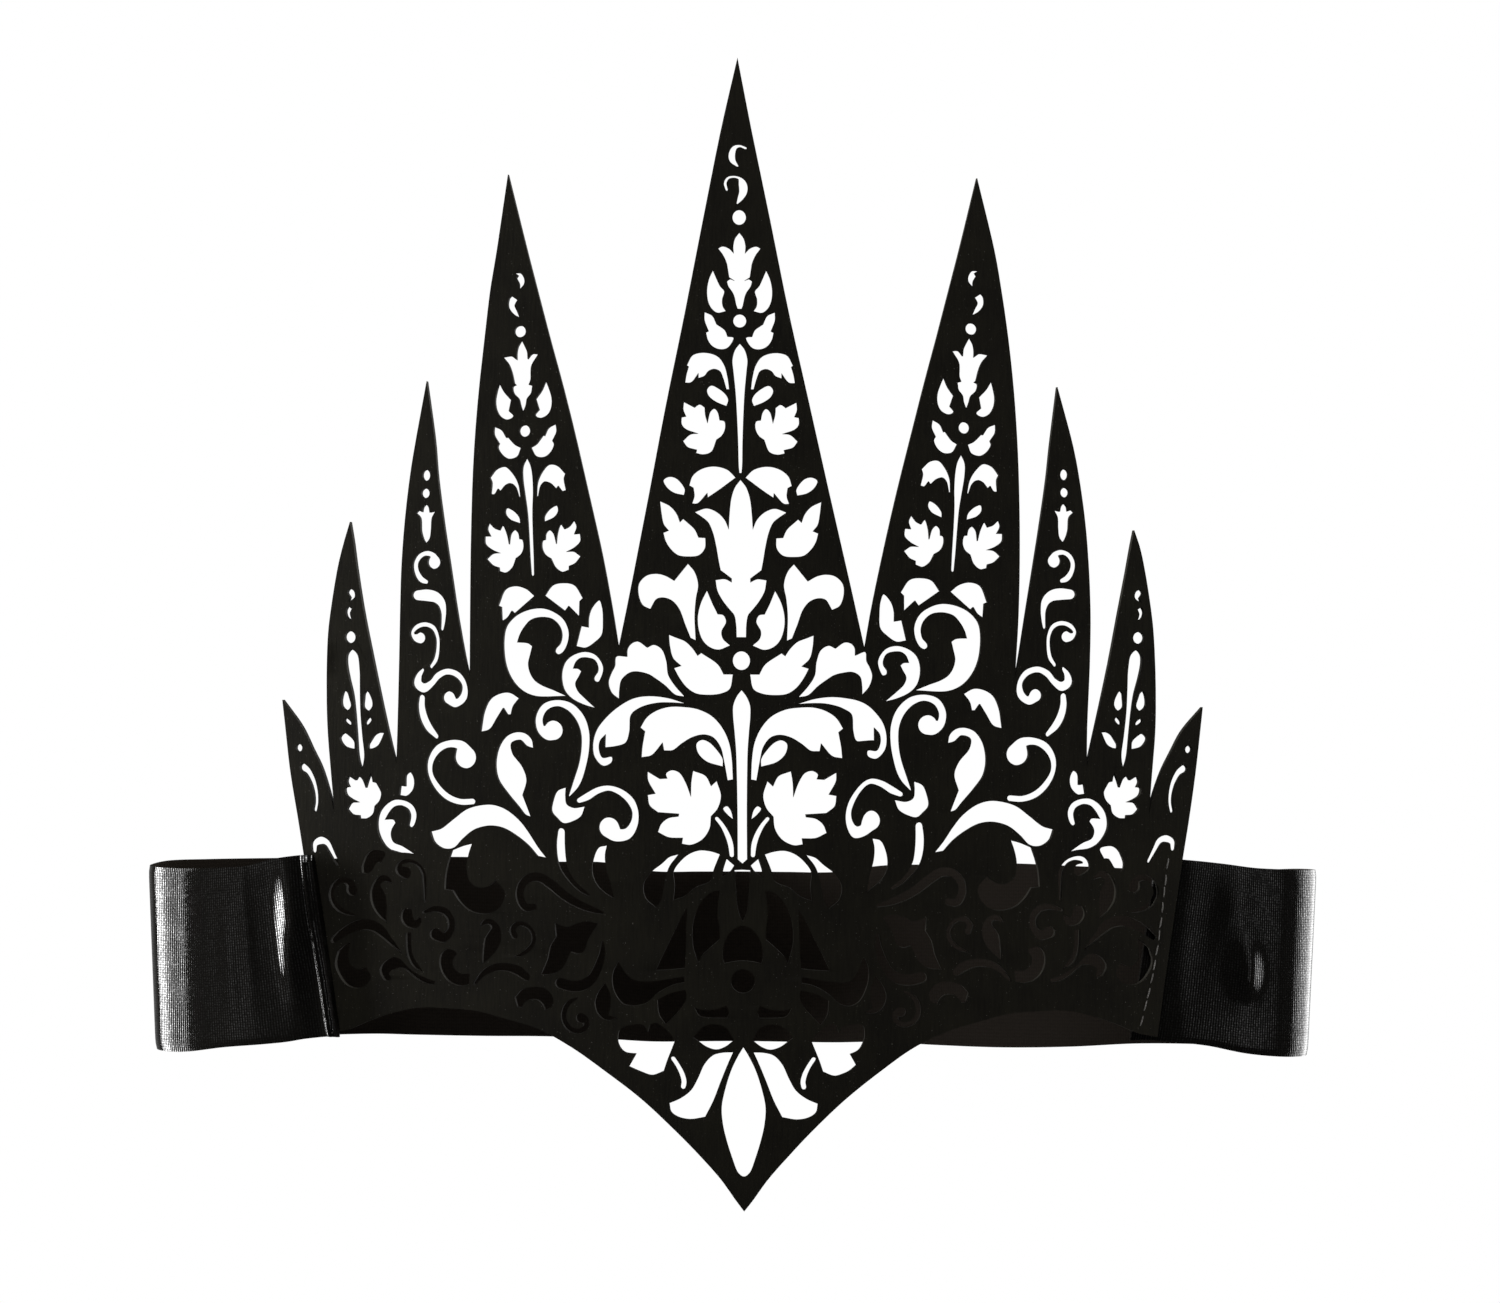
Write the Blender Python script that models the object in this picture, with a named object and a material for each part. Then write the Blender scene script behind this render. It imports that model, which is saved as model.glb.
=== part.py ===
"""Costume crown: a pierced black sheet with nine spikes, and the wide stretch band behind it."""

import math

import bmesh
import bpy
import numpy as np

MM = 0.001

# Sizes in mm. The origin is the middle of the head opening, and the front faces -Y.
HEAD_CENTRE = 40.0
PANEL_THICKNESS = 1.6
PANEL_BEND_RADIUS = 400.0
PANEL_BEND_STEP = 36.0
PANEL_BEND_LINES = 2
SHEET_LEAN = -0.010  # across for each mm up
STRAP_THICKNESS = 1.0
HEM_THICKNESS = 2.0
FOLD_FLARE = 0.9  # how far the band's top stands out, and its foot in, at the two folds
STRAP_ROWS = 2
STRAP_STEP = 9.0

# How finely the cut edges are traced, and how far a straight stretch may leave them.
EDGE_STEP = 0.4
EDGE_TOLERANCE = 0.22

# A row that ends in this is a corner. The others lie on a smooth edge.
TIP = 1

# The round cut under the middle spike: across, up, half width.
CENTRE_DOT = (0.0, -4.4, 2.6)

# The middle of the second spike: across, up, and how far it leans out for each mm up.
SPIKE_MIDDLE = (-45.4, 84.0, -0.048)

# How far the inner one of a pair stands from its mirrored place: across, up.
PAIR_SHIFT = {"pair_maple": (0.75, -0.35)}

# The right wing was cut a little apart from the left one's mirror image: where that begins and is full,
# and for its middle and its level the shift, its change for each mm across and for each mm further up.
WING_EDGE = (22.0, 30.0)
WING_MIDDLE = 60.0
WING_LEVEL = 40.0
WING_ACROSS = (-0.37, 0.026, 0.034)
WING_UP = (1.29, -0.0177, -0.0048)
# The wing's lower outer corner is cut a little higher still.
FOOT_RISE = 0.7
FOOT_ACROSS = (68.0, 80.0)
FOOT_BELOW = (-30.0, -24.0)

# The band from its hemmed left end, round behind the head, to its right end:
# across and back to its inner face, middle height, height, how far its top leans outwards, thickness.
STRAP_SECTIONS = [
    (-90.8, 10.05, 2.1, 39.6, 3.1, HEM_THICKNESS),
    (-92.9, 10.55, 2.1, 39.6, 3.1, HEM_THICKNESS),
    (-93.4, 10.67, 2.1, 39.6, 3.1, STRAP_THICKNESS),
    (-98.5, 12.0, 1.45, 39.6, 2.9, STRAP_THICKNESS),
    (-102.0, 13.1, 0.7, 39.6, 2.6, STRAP_THICKNESS),
    (-107.0, 14.9, -0.3, 39.1, 2.0, STRAP_THICKNESS),
    (-115.0, 18.6, -1.15, 39.5, 1.2, STRAP_THICKNESS),
    (-124.0, 24.2, -2.2, 40.7, 0.3, STRAP_THICKNESS),
    (-129.9, 29.2, -2.3, 40.9, 0.0, STRAP_THICKNESS),
    (-131.5, 34.0, -2.1, 41.0, 0.0, STRAP_THICKNESS),
    (-129.2, 38.3, -1.5, 41.2, 0.0, STRAP_THICKNESS),
    (-120.5, 41.2, -1.15, 41.0, 0.0, STRAP_THICKNESS),
    (-106.0, 43.2, -0.75, 40.6, 0.0, STRAP_THICKNESS),
    (-90.0, 46.4, -0.5, 40.2, 0.0, STRAP_THICKNESS),
    (-83.0, 48.7, 0.5, 42.3, 0.0, STRAP_THICKNESS),
    (-75.0, 51.8, -0.6, 41.0, 0.0, STRAP_THICKNESS),
    (-60.0, 58.7, -1.4, 41.1, 0.0, STRAP_THICKNESS),
    (-45.0, 66.4, -2.4, 40.6, 0.0, STRAP_THICKNESS),
    (-32.0, 72.8, -3.2, 41.2, 0.0, STRAP_THICKNESS),
    (-21.0, 77.4, -4.8, 40.0, 0.0, STRAP_THICKNESS),
    (-10.0, 80.6, -5.0, 40.0, 0.0, STRAP_THICKNESS),
    (0.0, 81.6, -5.0, 40.0, 0.0, STRAP_THICKNESS),
    (10.0, 80.6, -5.0, 40.0, 0.0, STRAP_THICKNESS),
    (21.0, 77.4, -4.8, 40.0, 0.0, STRAP_THICKNESS),
    (32.0, 72.8, -3.6, 41.2, 0.0, STRAP_THICKNESS),
    (45.0, 66.4, -3.3, 41.9, 0.0, STRAP_THICKNESS),
    (60.0, 58.7, -2.8, 42.4, 0.0, STRAP_THICKNESS),
    (75.0, 51.8, -2.45, 41.3, 0.0, STRAP_THICKNESS),
    (90.0, 46.4, -1.95, 39.7, 0.0, STRAP_THICKNESS),
    (104.0, 43.2, -1.9, 39.4, 0.0, STRAP_THICKNESS),
    (115.5, 41.4, -2.0, 40.0, 0.0, STRAP_THICKNESS),
    (124.0, 38.9, -2.1, 41.2, 0.0, STRAP_THICKNESS),
    (126.6, 34.6, -2.15, 41.5, 0.0, STRAP_THICKNESS),
    (125.0, 29.3, -2.0, 41.6, 0.0, STRAP_THICKNESS),
    (119.8, 24.9, -1.7, 41.6, -0.3, STRAP_THICKNESS),
    (112.0, 20.9, -0.9, 41.0, -1.0, STRAP_THICKNESS),
    (104.0, 17.6, 0.6, 40.0, -2.0, STRAP_THICKNESS),
    (97.0, 15.05, 1.5, 39.7, -2.8, STRAP_THICKNESS),
    (91.5, 13.65, 2.0, 39.6, -2.9, STRAP_THICKNESS),
    (87.5, 12.72, 2.0, 39.6, -2.9, STRAP_THICKNESS),
]

# The sheet's edge, from the middle spike's tip by the left to the low point and back by the right.
OUTLINE = [
    (-0.2, 195.3, TIP), (-3.8, 180.0), (-7.9, 160.0), (-11.9, 140.0), (-16.1, 120.0), (-20.0, 100.0),
    (-24.0, 80.0), (-26.1, 70.0), (-26.6, 67.7, TIP), (-27.9, 76.0), (-30.0, 87.5), (-33.0, 101.0),
    (-36.2, 115.0), (-38.7, 125.0), (-41.4, 135.0), (-44.0, 145.0), (-46.3, 154.0), (-50.3, 170.2, TIP),
    (-52.8, 154.0), (-54.35, 145.0), (-55.6, 135.0), (-56.8, 125.0), (-57.75, 115.0), (-58.4, 105.0),
    (-58.9, 90.0), (-59.15, 75.0), (-59.3, 61.0, TIP), (-60.2, 65.0), (-62.0, 75.0), (-63.5, 85.0),
    (-65.0, 95.0), (-66.25, 105.0), (-66.8, 112.0), (-68.6, 125.4, TIP), (-71.2, 112.0), (-72.4, 105.0),
    (-73.65, 95.0), (-74.45, 85.0), (-74.8, 75.0), (-75.05, 65.0), (-75.5, 50.0), (-75.8, 42.0, TIP),
    (-76.6, 45.0), (-78.9, 55.0), (-81.0, 65.0), (-83.05, 75.0), (-84.65, 85.0), (-85.3, 90.0),
    (-86.1, 94.8, TIP), (-87.6, 90.0), (-88.9, 85.0), (-90.65, 75.0), (-91.25, 70.0), (-91.6, 60.0),
    (-91.45, 50.0), (-90.7, 40.0), (-89.9, 31.0, TIP), (-90.9, 35.0), (-92.95, 41.2), (-94.9, 45.0),
    (-97.45, 50.0), (-101.9, 55.8, TIP), (-101.25, 50.0), (-100.1, 40.0), (-98.4, 30.0), (-97.1, 22.0),
    (-95.2, 8.4), (-93.2, -4.3), (-91.4, -17.0, TIP), (-87.0, -16.1), (-82.0, -14.0), (-77.0, -12.3),
    (-71.0, -11.0), (-65.0, -11.0), (-58.0, -11.5), (-52.0, -13.0), (-44.5, -15.2), (-37.2, -19.1),
    (-30.0, -24.1), (-22.2, -30.0), (-15.0, -36.65), (-10.0, -41.7), (-5.0, -47.3), (-1.8, -51.8),
    (0.0, -54.2, TIP), (1.85, -51.9), (5.1, -47.4), (10.05, -41.8), (15.0, -36.6), (22.1, -29.9),
    (29.8, -23.8), (36.95, -18.8), (44.5, -15.2), (52.0, -13.0), (58.0, -11.5), (65.0, -11.0),
    (71.0, -11.0), (77.0, -12.3), (82.0, -14.0), (87.0, -16.1), (91.4, -17.0, TIP), (93.2, -4.3),
    (95.2, 8.4), (97.4, 22.0), (98.8, 30.0), (100.35, 40.0), (101.6, 50.0), (102.2, 55.2, TIP),
    (97.5, 50.0), (94.7, 45.1), (92.7, 41.3), (90.45, 35.2), (89.6, 31.0, TIP), (90.35, 40.0), (91.2, 50.0),
    (91.35, 60.0), (91.0, 70.0), (90.55, 75.0), (89.0, 85.0), (87.9, 90.0), (86.6, 93.8, TIP), (85.8, 90.0),
    (84.85, 85.0), (82.8, 75.0), (80.8, 65.0), (78.55, 55.0), (76.2, 45.0), (75.6, 42.2, TIP), (75.7, 50.0),
    (76.4, 65.0), (76.6, 75.0), (76.3, 85.0), (75.55, 95.0), (74.2, 105.0), (72.85, 112.0),
    (69.4, 124.8, TIP), (67.7, 112.0), (66.9, 105.0), (65.4, 95.0), (63.75, 85.0), (62.05, 75.0),
    (60.4, 65.0), (59.6, 61.0, TIP), (60.5, 75.0), (60.85, 90.0), (60.7, 105.0), (60.3, 115.0),
    (59.6, 125.0), (58.55, 135.0), (57.15, 145.0), (55.6, 154.0), (51.8, 169.9, TIP), (47.8, 154.0),
    (45.4, 145.0), (42.75, 135.0), (40.0, 125.0), (37.4, 115.0), (33.8, 101.0), (30.65, 87.5), (28.2, 76.0),
    (26.7, 67.7, TIP), (26.2, 70.0), (24.0, 80.0), (19.5, 100.0), (15.1, 120.0), (10.7, 140.0),
    (6.75, 160.0), (2.7, 180.0),
]

# Cuts on the centre line, left half of each from top to foot: across, up, and TIP at a corner.
CENTRE_LEAVES = {
    "bud_tulip": [
        (0.0, 157.5, TIP), (-0.9, 156.3), (-1.3, 154.6), (-1.2, 153.0, TIP), (-2.3, 154.1), (-3.7, 154.55),
        (-4.6, 154.1, TIP), (-3.5, 152.6), (-2.7, 150.8), (-2.4, 149.0), (-2.2, 147.8, TIP),
        (-1.1, 147.1, TIP), (-2.0, 147.45), (-2.7, 147.0, TIP), (-2.4, 145.9), (-1.4, 144.4), (-1.0, 143.3),
        (-0.7, 141.8), (-0.4, 141.0, TIP),
    ],
    "upper_stem": [
        (0.0, 133.5, TIP), (-1.0, 132.2), (-1.6, 130.0), (-1.4, 127.5), (-1.0, 123.5), (-0.7, 118.5),
        (-0.45, 112.0), (-0.35, 107.0), (-0.2, 105.5, TIP),
    ],
    "great_tulip": [
        (0.0, 104.0, TIP), (-1.2, 102.4), (-2.0, 100.0), (-2.4, 96.6), (-2.6, 93.2, TIP), (-3.5, 95.3),
        (-5.2, 97.0), (-7.4, 97.8), (-9.9, 97.0, TIP), (-8.4, 96.0), (-7.0, 94.8), (-6.0, 92.5),
        (-5.3, 89.5), (-4.8, 86.5), (-4.4, 84.5, TIP), (-2.0, 82.7, TIP), (-2.0, 81.8, TIP), (-3.5, 82.5),
        (-5.5, 82.3, TIP), (-5.1, 80.0), (-3.9, 77.8), (-2.4, 75.9), (-1.5, 74.8), (-1.1, 72.8),
        (-1.0, 70.0, TIP),
    ],
    "lower_stem": [
        (0.0, 58.5, TIP), (-1.0, 57.2), (-1.8, 55.2), (-1.85, 52.8), (-1.55, 49.5), (-1.25, 45.5),
        (-1.1, 40.0), (-1.0, 32.0), (-1.0, 21.9, TIP), (0.0, 21.0, TIP),
    ],
    "root": [
        (0.0, 19.7, TIP), (-1.7, 19.6, TIP), (-1.4, 15.0), (-1.0, 11.0), (-0.2, 8.6, TIP),
    ],
    "dome": [
        (0.0, 7.6), (-1.6, 7.1), (-3.2, 5.5), (-4.2, 3.0), (-4.3, 0.4), (-4.0, -0.6, TIP), (-2.2, -0.2),
        (0.0, 0.0),
    ],
    "spindle": [
        (0.0, -18.7, TIP), (-1.1, -20.5), (-2.6, -23.6), (-3.9, -27.6), (-4.75, -31.8), (-4.5, -35.5),
        (-3.7, -39.0), (-2.5, -42.8), (-1.2, -46.0), (0.0, -46.8),
    ],
}

# Leaves, each cut on both sides of the centre line: across, up, and TIP at a corner.
LEAVES = {
    "great_scroll": [
        (-38.2, 57.1, TIP), (-45.2, 57.1), (-48.2, 58.5), (-50.5, 61.4), (-51.7, 65.5), (-51.4, 71.6),
        (-49.5, 74.1), (-46.6, 75.6), (-43.4, 76.0), (-40.9, 75.3), (-38.6, 73.6), (-37.5, 71.0),
        (-37.8, 68.4), (-38.9, 66.5), (-39.9, 66.1), (-40.5, 66.6), (-40.35, 67.3), (-39.4, 68.4),
        (-39.0, 70.4), (-39.6, 72.3), (-41.2, 73.8), (-43.4, 74.2), (-45.7, 73.6), (-47.1, 72.2),
        (-48.2, 70.4), (-48.8, 68.6, TIP), (-46.4, 68.4), (-45.5, 67.8, TIP), (-46.0, 65.9), (-46.4, 64.0),
        (-46.0, 62.0), (-45.0, 60.4), (-43.4, 59.3), (-40.9, 58.3),
    ],
    "small_scroll": [
        (-31.8, 54.5, TIP), (-34.5, 55.3), (-37.0, 56.6), (-38.5, 58.3), (-39.1, 60.75), (-38.9, 63.0),
        (-38.1, 64.7), (-36.4, 66.0), (-34.1, 66.6), (-31.9, 66.1), (-30.5, 64.6), (-30.0, 63.0),
        (-30.5, 61.1), (-31.1, 60.2), (-31.9, 60.4), (-32.0, 61.1), (-31.2, 62.4), (-31.2, 63.6),
        (-31.9, 64.9), (-33.2, 65.4), (-34.8, 65.4), (-35.9, 64.6), (-36.6, 63.0, TIP), (-35.4, 62.9),
        (-34.8, 62.4, TIP), (-35.3, 61.4), (-36.1, 59.8), (-35.6, 58.2), (-34.3, 56.8),
    ],
    "fourth_scroll": [
        (-71.7, 22.3, TIP), (-73.6, 22.6), (-76.3, 22.8), (-78.1, 23.7), (-79.4, 25.4), (-80.2, 27.6),
        (-80.2, 30.0), (-79.6, 31.7), (-78.4, 33.1), (-76.9, 34.0), (-75.3, 34.2), (-73.4, 33.8),
        (-72.1, 32.9), (-71.4, 31.4), (-71.5, 29.8), (-72.1, 28.5), (-72.7, 28.2), (-73.2, 28.5),
        (-73.0, 29.7), (-72.9, 30.9), (-73.4, 32.1), (-74.5, 32.8), (-75.5, 33.0), (-76.5, 32.6),
        (-77.5, 31.5), (-78.5, 29.8, TIP), (-76.5, 29.8), (-76.1, 29.2, TIP), (-77.0, 27.6), (-77.1, 26.2),
        (-76.5, 24.9), (-74.6, 24.1), (-72.9, 23.1),
    ],
    "drop": [
        (-5.8, 149.3, TIP), (-6.6, 147.5), (-7.05, 145.0), (-6.8, 142.6), (-6.0, 141.0), (-4.8, 140.15),
        (-3.0, 140.5, TIP), (-3.7, 141.6), (-3.8, 143.0), (-3.35, 144.8), (-4.3, 146.0), (-5.1, 147.7),
    ],
    "notched_leaf": [
        (-7.6, 140.3, TIP), (-7.6, 138.6), (-6.7, 136.2, TIP), (-7.3, 135.9, TIP), (-6.9, 134.3),
        (-6.0, 133.0), (-4.6, 132.3), (-3.0, 132.4), (-2.0, 133.3), (-1.4, 134.8), (-2.7, 135.0, TIP),
        (-3.3, 136.4), (-5.1, 137.7, TIP), (-6.0, 139.5),
    ],
    "hood": [
        (-8.5, 131.5), (-10.3, 130.9), (-11.5, 128.8, TIP), (-11.1, 128.5, TIP), (-11.6, 126.8),
        (-11.9, 125.0, TIP), (-10.6, 125.1), (-9.0, 127.1, TIP), (-9.0, 126.0, TIP), (-7.7, 126.5),
        (-6.9, 127.5), (-5.6, 128.0), (-4.3, 127.5), (-3.6, 126.0), (-2.9, 123.6, TIP), (-2.4, 123.6, TIP),
        (-2.7, 126.0), (-3.4, 128.7), (-4.6, 130.5), (-6.2, 131.3),
    ],
    "maple": [
        (-12.2, 120.8, TIP), (-12.3, 119.2), (-11.7, 117.7, TIP), (-12.7, 117.5, TIP), (-12.7, 116.1),
        (-11.8, 115.0), (-9.1, 114.0, TIP), (-10.8, 113.8), (-12.4, 112.4, TIP), (-11.4, 111.1),
        (-9.4, 110.5, TIP), (-9.6, 109.8, TIP), (-8.0, 109.5), (-6.3, 110.1), (-5.2, 112.7, TIP),
        (-4.0, 113.6), (-3.3, 115.2), (-3.5, 116.7), (-4.5, 116.9, TIP), (-4.9, 118.6), (-5.6, 119.4),
        (-6.4, 118.8), (-7.1, 116.2, TIP), (-7.6, 118.0), (-7.7, 119.6, TIP), (-8.8, 120.3),
        (-9.9, 119.6, TIP),
    ],
    "half_round": [
        (-5.8, 106.9), (-8.5, 106.3), (-10.4, 104.8), (-11.1, 102.8, TIP), (-10.2, 102.3, TIP),
        (-10.0, 100.5), (-10.5, 98.9, TIP), (-9.4, 98.9), (-7.2, 101.2, TIP), (-7.1, 100.2, TIP),
        (-4.6, 101.9), (-1.1, 104.5, TIP), (-2.9, 106.2),
    ],
    "serrated_leaf": [
        (-17.5, 99.3, TIP), (-17.2, 96.8), (-16.7, 94.4), (-15.6, 93.0, TIP), (-16.8, 92.5, TIP),
        (-16.3, 90.7), (-15.2, 89.0), (-13.6, 87.7), (-11.5, 87.4), (-9.1, 87.7), (-7.8, 89.2),
        (-7.7, 91.4, TIP), (-9.2, 91.5, TIP), (-10.0, 93.2), (-12.5, 95.5, TIP), (-13.2, 94.8, TIP),
        (-13.9, 96.6), (-15.3, 98.2),
    ],
    "trumpet": [
        (-11.5, 85.8, TIP), (-10.1, 84.1), (-9.3, 81.3), (-9.8, 78.3), (-10.1, 74.5), (-9.9, 69.3, TIP),
        (-11.0, 69.8, TIP), (-12.2, 72.8), (-13.4, 76.0), (-14.9, 77.8), (-16.7, 78.5), (-18.3, 78.2),
        (-19.7, 76.0, TIP), (-21.4, 76.9), (-22.3, 79.3), (-22.1, 81.6), (-20.5, 83.2), (-18.5, 83.6),
        (-16.5, 83.2), (-14.5, 82.1, TIP),
    ],
    "pear": [
        (-7.4, 80.0, TIP), (-8.7, 77.4), (-9.4, 74.4), (-9.2, 71.5), (-8.3, 69.2), (-6.8, 67.8),
        (-4.9, 67.3), (-2.5, 68.2, TIP), (-4.0, 69.6), (-4.3, 71.2), (-3.3, 73.3), (-3.9, 74.7),
        (-5.1, 74.9, TIP), (-6.1, 76.9),
    ],
    "great_leaf": [
        (-15.7, 70.4, TIP), (-15.5, 68.0), (-14.8, 65.4), (-13.0, 63.7, TIP), (-14.6, 63.2, TIP),
        (-13.4, 61.0), (-11.8, 59.0), (-9.9, 57.8), (-7.4, 57.5), (-4.5, 57.8), (-2.6, 58.8),
        (-1.9, 61.9, TIP), (-3.9, 61.9, TIP), (-5.1, 64.0), (-8.7, 66.5, TIP), (-9.5, 65.9, TIP),
        (-10.6, 67.5), (-12.2, 69.0), (-14.2, 69.8),
    ],
    "three_lobe_wing": [
        (-26.6, 56.5, TIP), (-28.2, 57.8), (-28.9, 60.0), (-28.3, 62.0), (-27.5, 63.6), (-27.2, 65.6),
        (-24.8, 65.6, TIP), (-24.7, 67.3), (-23.8, 68.5), (-22.4, 68.9), (-20.4, 67.6, TIP), (-19.0, 68.2),
        (-17.3, 67.3), (-16.3, 64.8), (-15.9, 61.8), (-14.6, 59.6), (-12.4, 57.1, TIP), (-14.4, 57.5),
        (-16.6, 59.5), (-18.4, 60.8), (-20.4, 62.0), (-23.8, 62.4), (-26.0, 60.7), (-26.5, 58.6),
    ],
    "crested_wing": [
        (-12.3, 55.6, TIP), (-16.0, 56.7), (-20.0, 57.1), (-23.4, 56.6), (-26.6, 54.9), (-29.6, 52.3),
        (-31.6, 49.6), (-32.4, 46.4), (-32.0, 43.8), (-30.2, 42.0), (-28.3, 42.8), (-28.2, 43.9),
        (-30.2, 43.7), (-31.0, 45.4), (-30.8, 47.4), (-29.6, 48.8, TIP), (-29.7, 46.0, TIP), (-27.4, 46.3),
        (-25.2, 47.1), (-24.4, 49.4), (-24.0, 53.1), (-22.0, 54.7), (-18.5, 55.7), (-15.0, 55.8),
    ],
    "acanthus": [
        (-22.0, 50.3, TIP), (-20.6, 52.5), (-18.4, 54.0), (-15.6, 54.8), (-12.6, 54.8), (-9.4, 54.3),
        (-6.4, 52.8), (-4.2, 50.3), (-2.8, 47.2), (-2.2, 43.6), (-2.0, 39.2, TIP), (-3.1, 39.0, TIP),
        (-3.9, 43.4), (-4.6, 46.2), (-6.2, 48.3), (-8.2, 48.9), (-10.6, 48.4), (-13.0, 47.0), (-15.0, 45.5),
        (-16.9, 45.4, TIP), (-17.2, 47.1, TIP), (-19.6, 44.4), (-21.8, 43.9, TIP), (-21.6, 46.2),
        (-21.0, 49.5, TIP),
    ],
    "great_maple": [
        (-20.5, 40.8, TIP), (-20.4, 38.9), (-18.8, 36.0, TIP), (-20.5, 35.7, TIP), (-20.1, 33.5),
        (-18.3, 32.0, TIP), (-13.7, 31.7, TIP), (-13.8, 31.1, TIP), (-16.0, 30.7), (-17.6, 29.4),
        (-18.3, 27.7, TIP), (-16.0, 26.6), (-12.9, 26.5, TIP), (-13.1, 25.2, TIP), (-11.2, 25.0),
        (-8.7, 26.2), (-7.1, 28.6), (-6.8, 31.2, TIP), (-5.3, 33.0), (-4.6, 35.7), (-5.5, 38.8, TIP),
        (-6.7, 37.7, TIP), (-7.9, 39.9), (-10.6, 41.0, TIP), (-11.0, 38.5), (-11.1, 35.4, TIP),
        (-12.2, 38.4), (-13.6, 40.6), (-15.2, 41.1), (-16.5, 40.3), (-16.2, 39.3, TIP), (-17.8, 39.2, TIP),
    ],
    "foot_dome": [
        (-4.9, 23.0, TIP), (-6.8, 23.6), (-9.2, 23.8), (-11.5, 23.0), (-13.6, 21.2), (-14.9, 19.2),
        (-14.7, 16.0), (-15.0, 13.0, TIP), (-12.6, 13.9), (-10.2, 15.8), (-7.0, 17.2), (-6.2, 19.8),
    ],
    "foot_petal": [
        (-13.9, 22.9, TIP), (-15.8, 22.3), (-17.4, 20.9), (-20.0, 18.8), (-21.5, 16.2), (-21.0, 13.4),
        (-18.7, 11.3, TIP), (-17.6, 13.2), (-16.9, 16.8), (-15.9, 20.2),
    ],
    "band_lobe": [
        (-4.9, 15.2, TIP), (-6.8, 14.8), (-8.8, 12.9), (-10.2, 10.2), (-10.9, 6.8), (-10.8, 3.2),
        (-9.7, -0.6, TIP), (-8.9, 1.0), (-7.2, 2.7), (-5.0, 4.6, TIP), (-5.0, 7.0), (-5.4, 9.4),
        (-5.3, 12.4),
    ],
    "band_shard": [
        (-12.0, 11.4, TIP), (-13.6, 8.8), (-15.4, 5.0), (-17.4, 1.0), (-18.9, -2.2, TIP), (-15.8, -2.0),
        (-12.6, -1.7, TIP), (-12.3, 2.5), (-12.2, 7.0),
    ],
    "band_bowl": [
        (-27.0, -0.3, TIP), (-28.1, -2.4), (-28.4, -5.0), (-27.6, -7.6), (-26.0, -9.5), (-23.6, -9.9),
        (-21.0, -9.3), (-18.6, -7.2), (-15.4, -5.4), (-12.7, -4.8, TIP), (-12.7, -3.4, TIP), (-16.5, -4.1),
        (-20.5, -4.6), (-23.8, -4.2), (-25.6, -2.6),
    ],
    "half_moon": [
        (-2.0, -17.2, TIP), (-3.8, -18.6), (-5.8, -19.3), (-8.0, -18.7), (-10.8, -16.6, TIP), (-8.6, -14.3),
        (-6.0, -13.7), (-3.6, -14.6),
    ],
    "v_petal": [
        (-2.2, -19.8, TIP), (-3.4, -22.4), (-5.0, -26.3), (-6.6, -30.4), (-8.4, -33.9, TIP), (-11.6, -34.4),
        (-14.2, -33.9), (-15.7, -32.8), (-16.1, -30.9, TIP), (-13.6, -29.8), (-11.3, -28.0), (-9.8, -25.4),
        (-8.4, -22.4), (-6.6, -20.5), (-4.6, -19.9),
    ],
    "v_boot": [
        (-27.2, -17.6), (-26.6, -19.1), (-25.6, -20.0), (-23.2, -20.3, TIP), (-24.8, -23.1, TIP),
        (-22.2, -24.2), (-19.8, -24.9), (-17.3, -24.0, TIP), (-16.5, -21.6), (-14.9, -17.6, TIP),
        (-15.4, -16.4), (-16.4, -15.2), (-17.6, -14.2), (-18.9, -13.5), (-20.2, -13.9, TIP),
        (-20.7, -15.5, TIP), (-21.7, -14.0), (-24.2, -14.0), (-26.8, -15.2),
    ],
    "second_tulip": [
        (-47.5, 134.2, TIP), (-48.3, 132.8), (-48.6, 131.4), (-48.6, 129.9, TIP), (-49.8, 130.7),
        (-51.6, 130.5, TIP), (-50.4, 129.0), (-49.7, 127.2), (-49.2, 124.9, TIP), (-48.8, 124.5, TIP),
        (-49.5, 124.1), (-49.3, 122.7), (-48.2, 121.5), (-47.8, 120.0), (-47.3, 118.8), (-46.7, 120.0),
        (-46.4, 121.5), (-45.5, 122.7), (-45.2, 124.3, TIP), (-46.0, 124.5, TIP), (-45.6, 125.6),
        (-45.4, 128.6), (-43.9, 131.1, TIP), (-45.2, 131.2), (-46.2, 130.1, TIP), (-46.3, 131.6),
        (-46.8, 132.8),
    ],
    "second_half_left": [
        (-49.3, 80.8), (-51.4, 80.1), (-53.0, 76.6, TIP), (-52.3, 76.3, TIP), (-52.2, 73.2, TIP),
        (-50.9, 74.1), (-50.0, 75.5, TIP), (-49.4, 74.9, TIP), (-45.0, 78.7, TIP), (-46.8, 80.2),
    ],
    "second_half_right": [
        (-38.8, 81.5), (-41.0, 81.0), (-42.7, 78.8, TIP), (-38.3, 75.5, TIP), (-37.5, 76.6, TIP),
        (-35.2, 74.3, TIP), (-35.1, 77.6, TIP), (-34.4, 78.3, TIP), (-36.2, 81.0),
    ],
    "second_leaf": [
        (-30.8, 77.8), (-32.4, 76.2), (-33.1, 74.2), (-33.2, 71.9, TIP), (-34.8, 72.2, TIP),
        (-35.9, 67.9, TIP), (-33.8, 67.6), (-31.8, 68.8), (-30.3, 70.4), (-30.0, 73.4), (-30.2, 76.4),
    ],
    "third_tulip": [
        (-68.9, 98.7, TIP), (-69.6, 97.9), (-69.8, 96.9, TIP), (-70.6, 97.2), (-71.2, 96.7, TIP),
        (-70.3, 95.7), (-70.1, 92.8), (-69.6, 91.0), (-69.0, 90.0, TIP), (-68.1, 91.2), (-67.8, 93.2),
        (-67.6, 95.6), (-66.8, 97.1, TIP), (-68.1, 96.8, TIP), (-68.3, 97.9),
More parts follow.
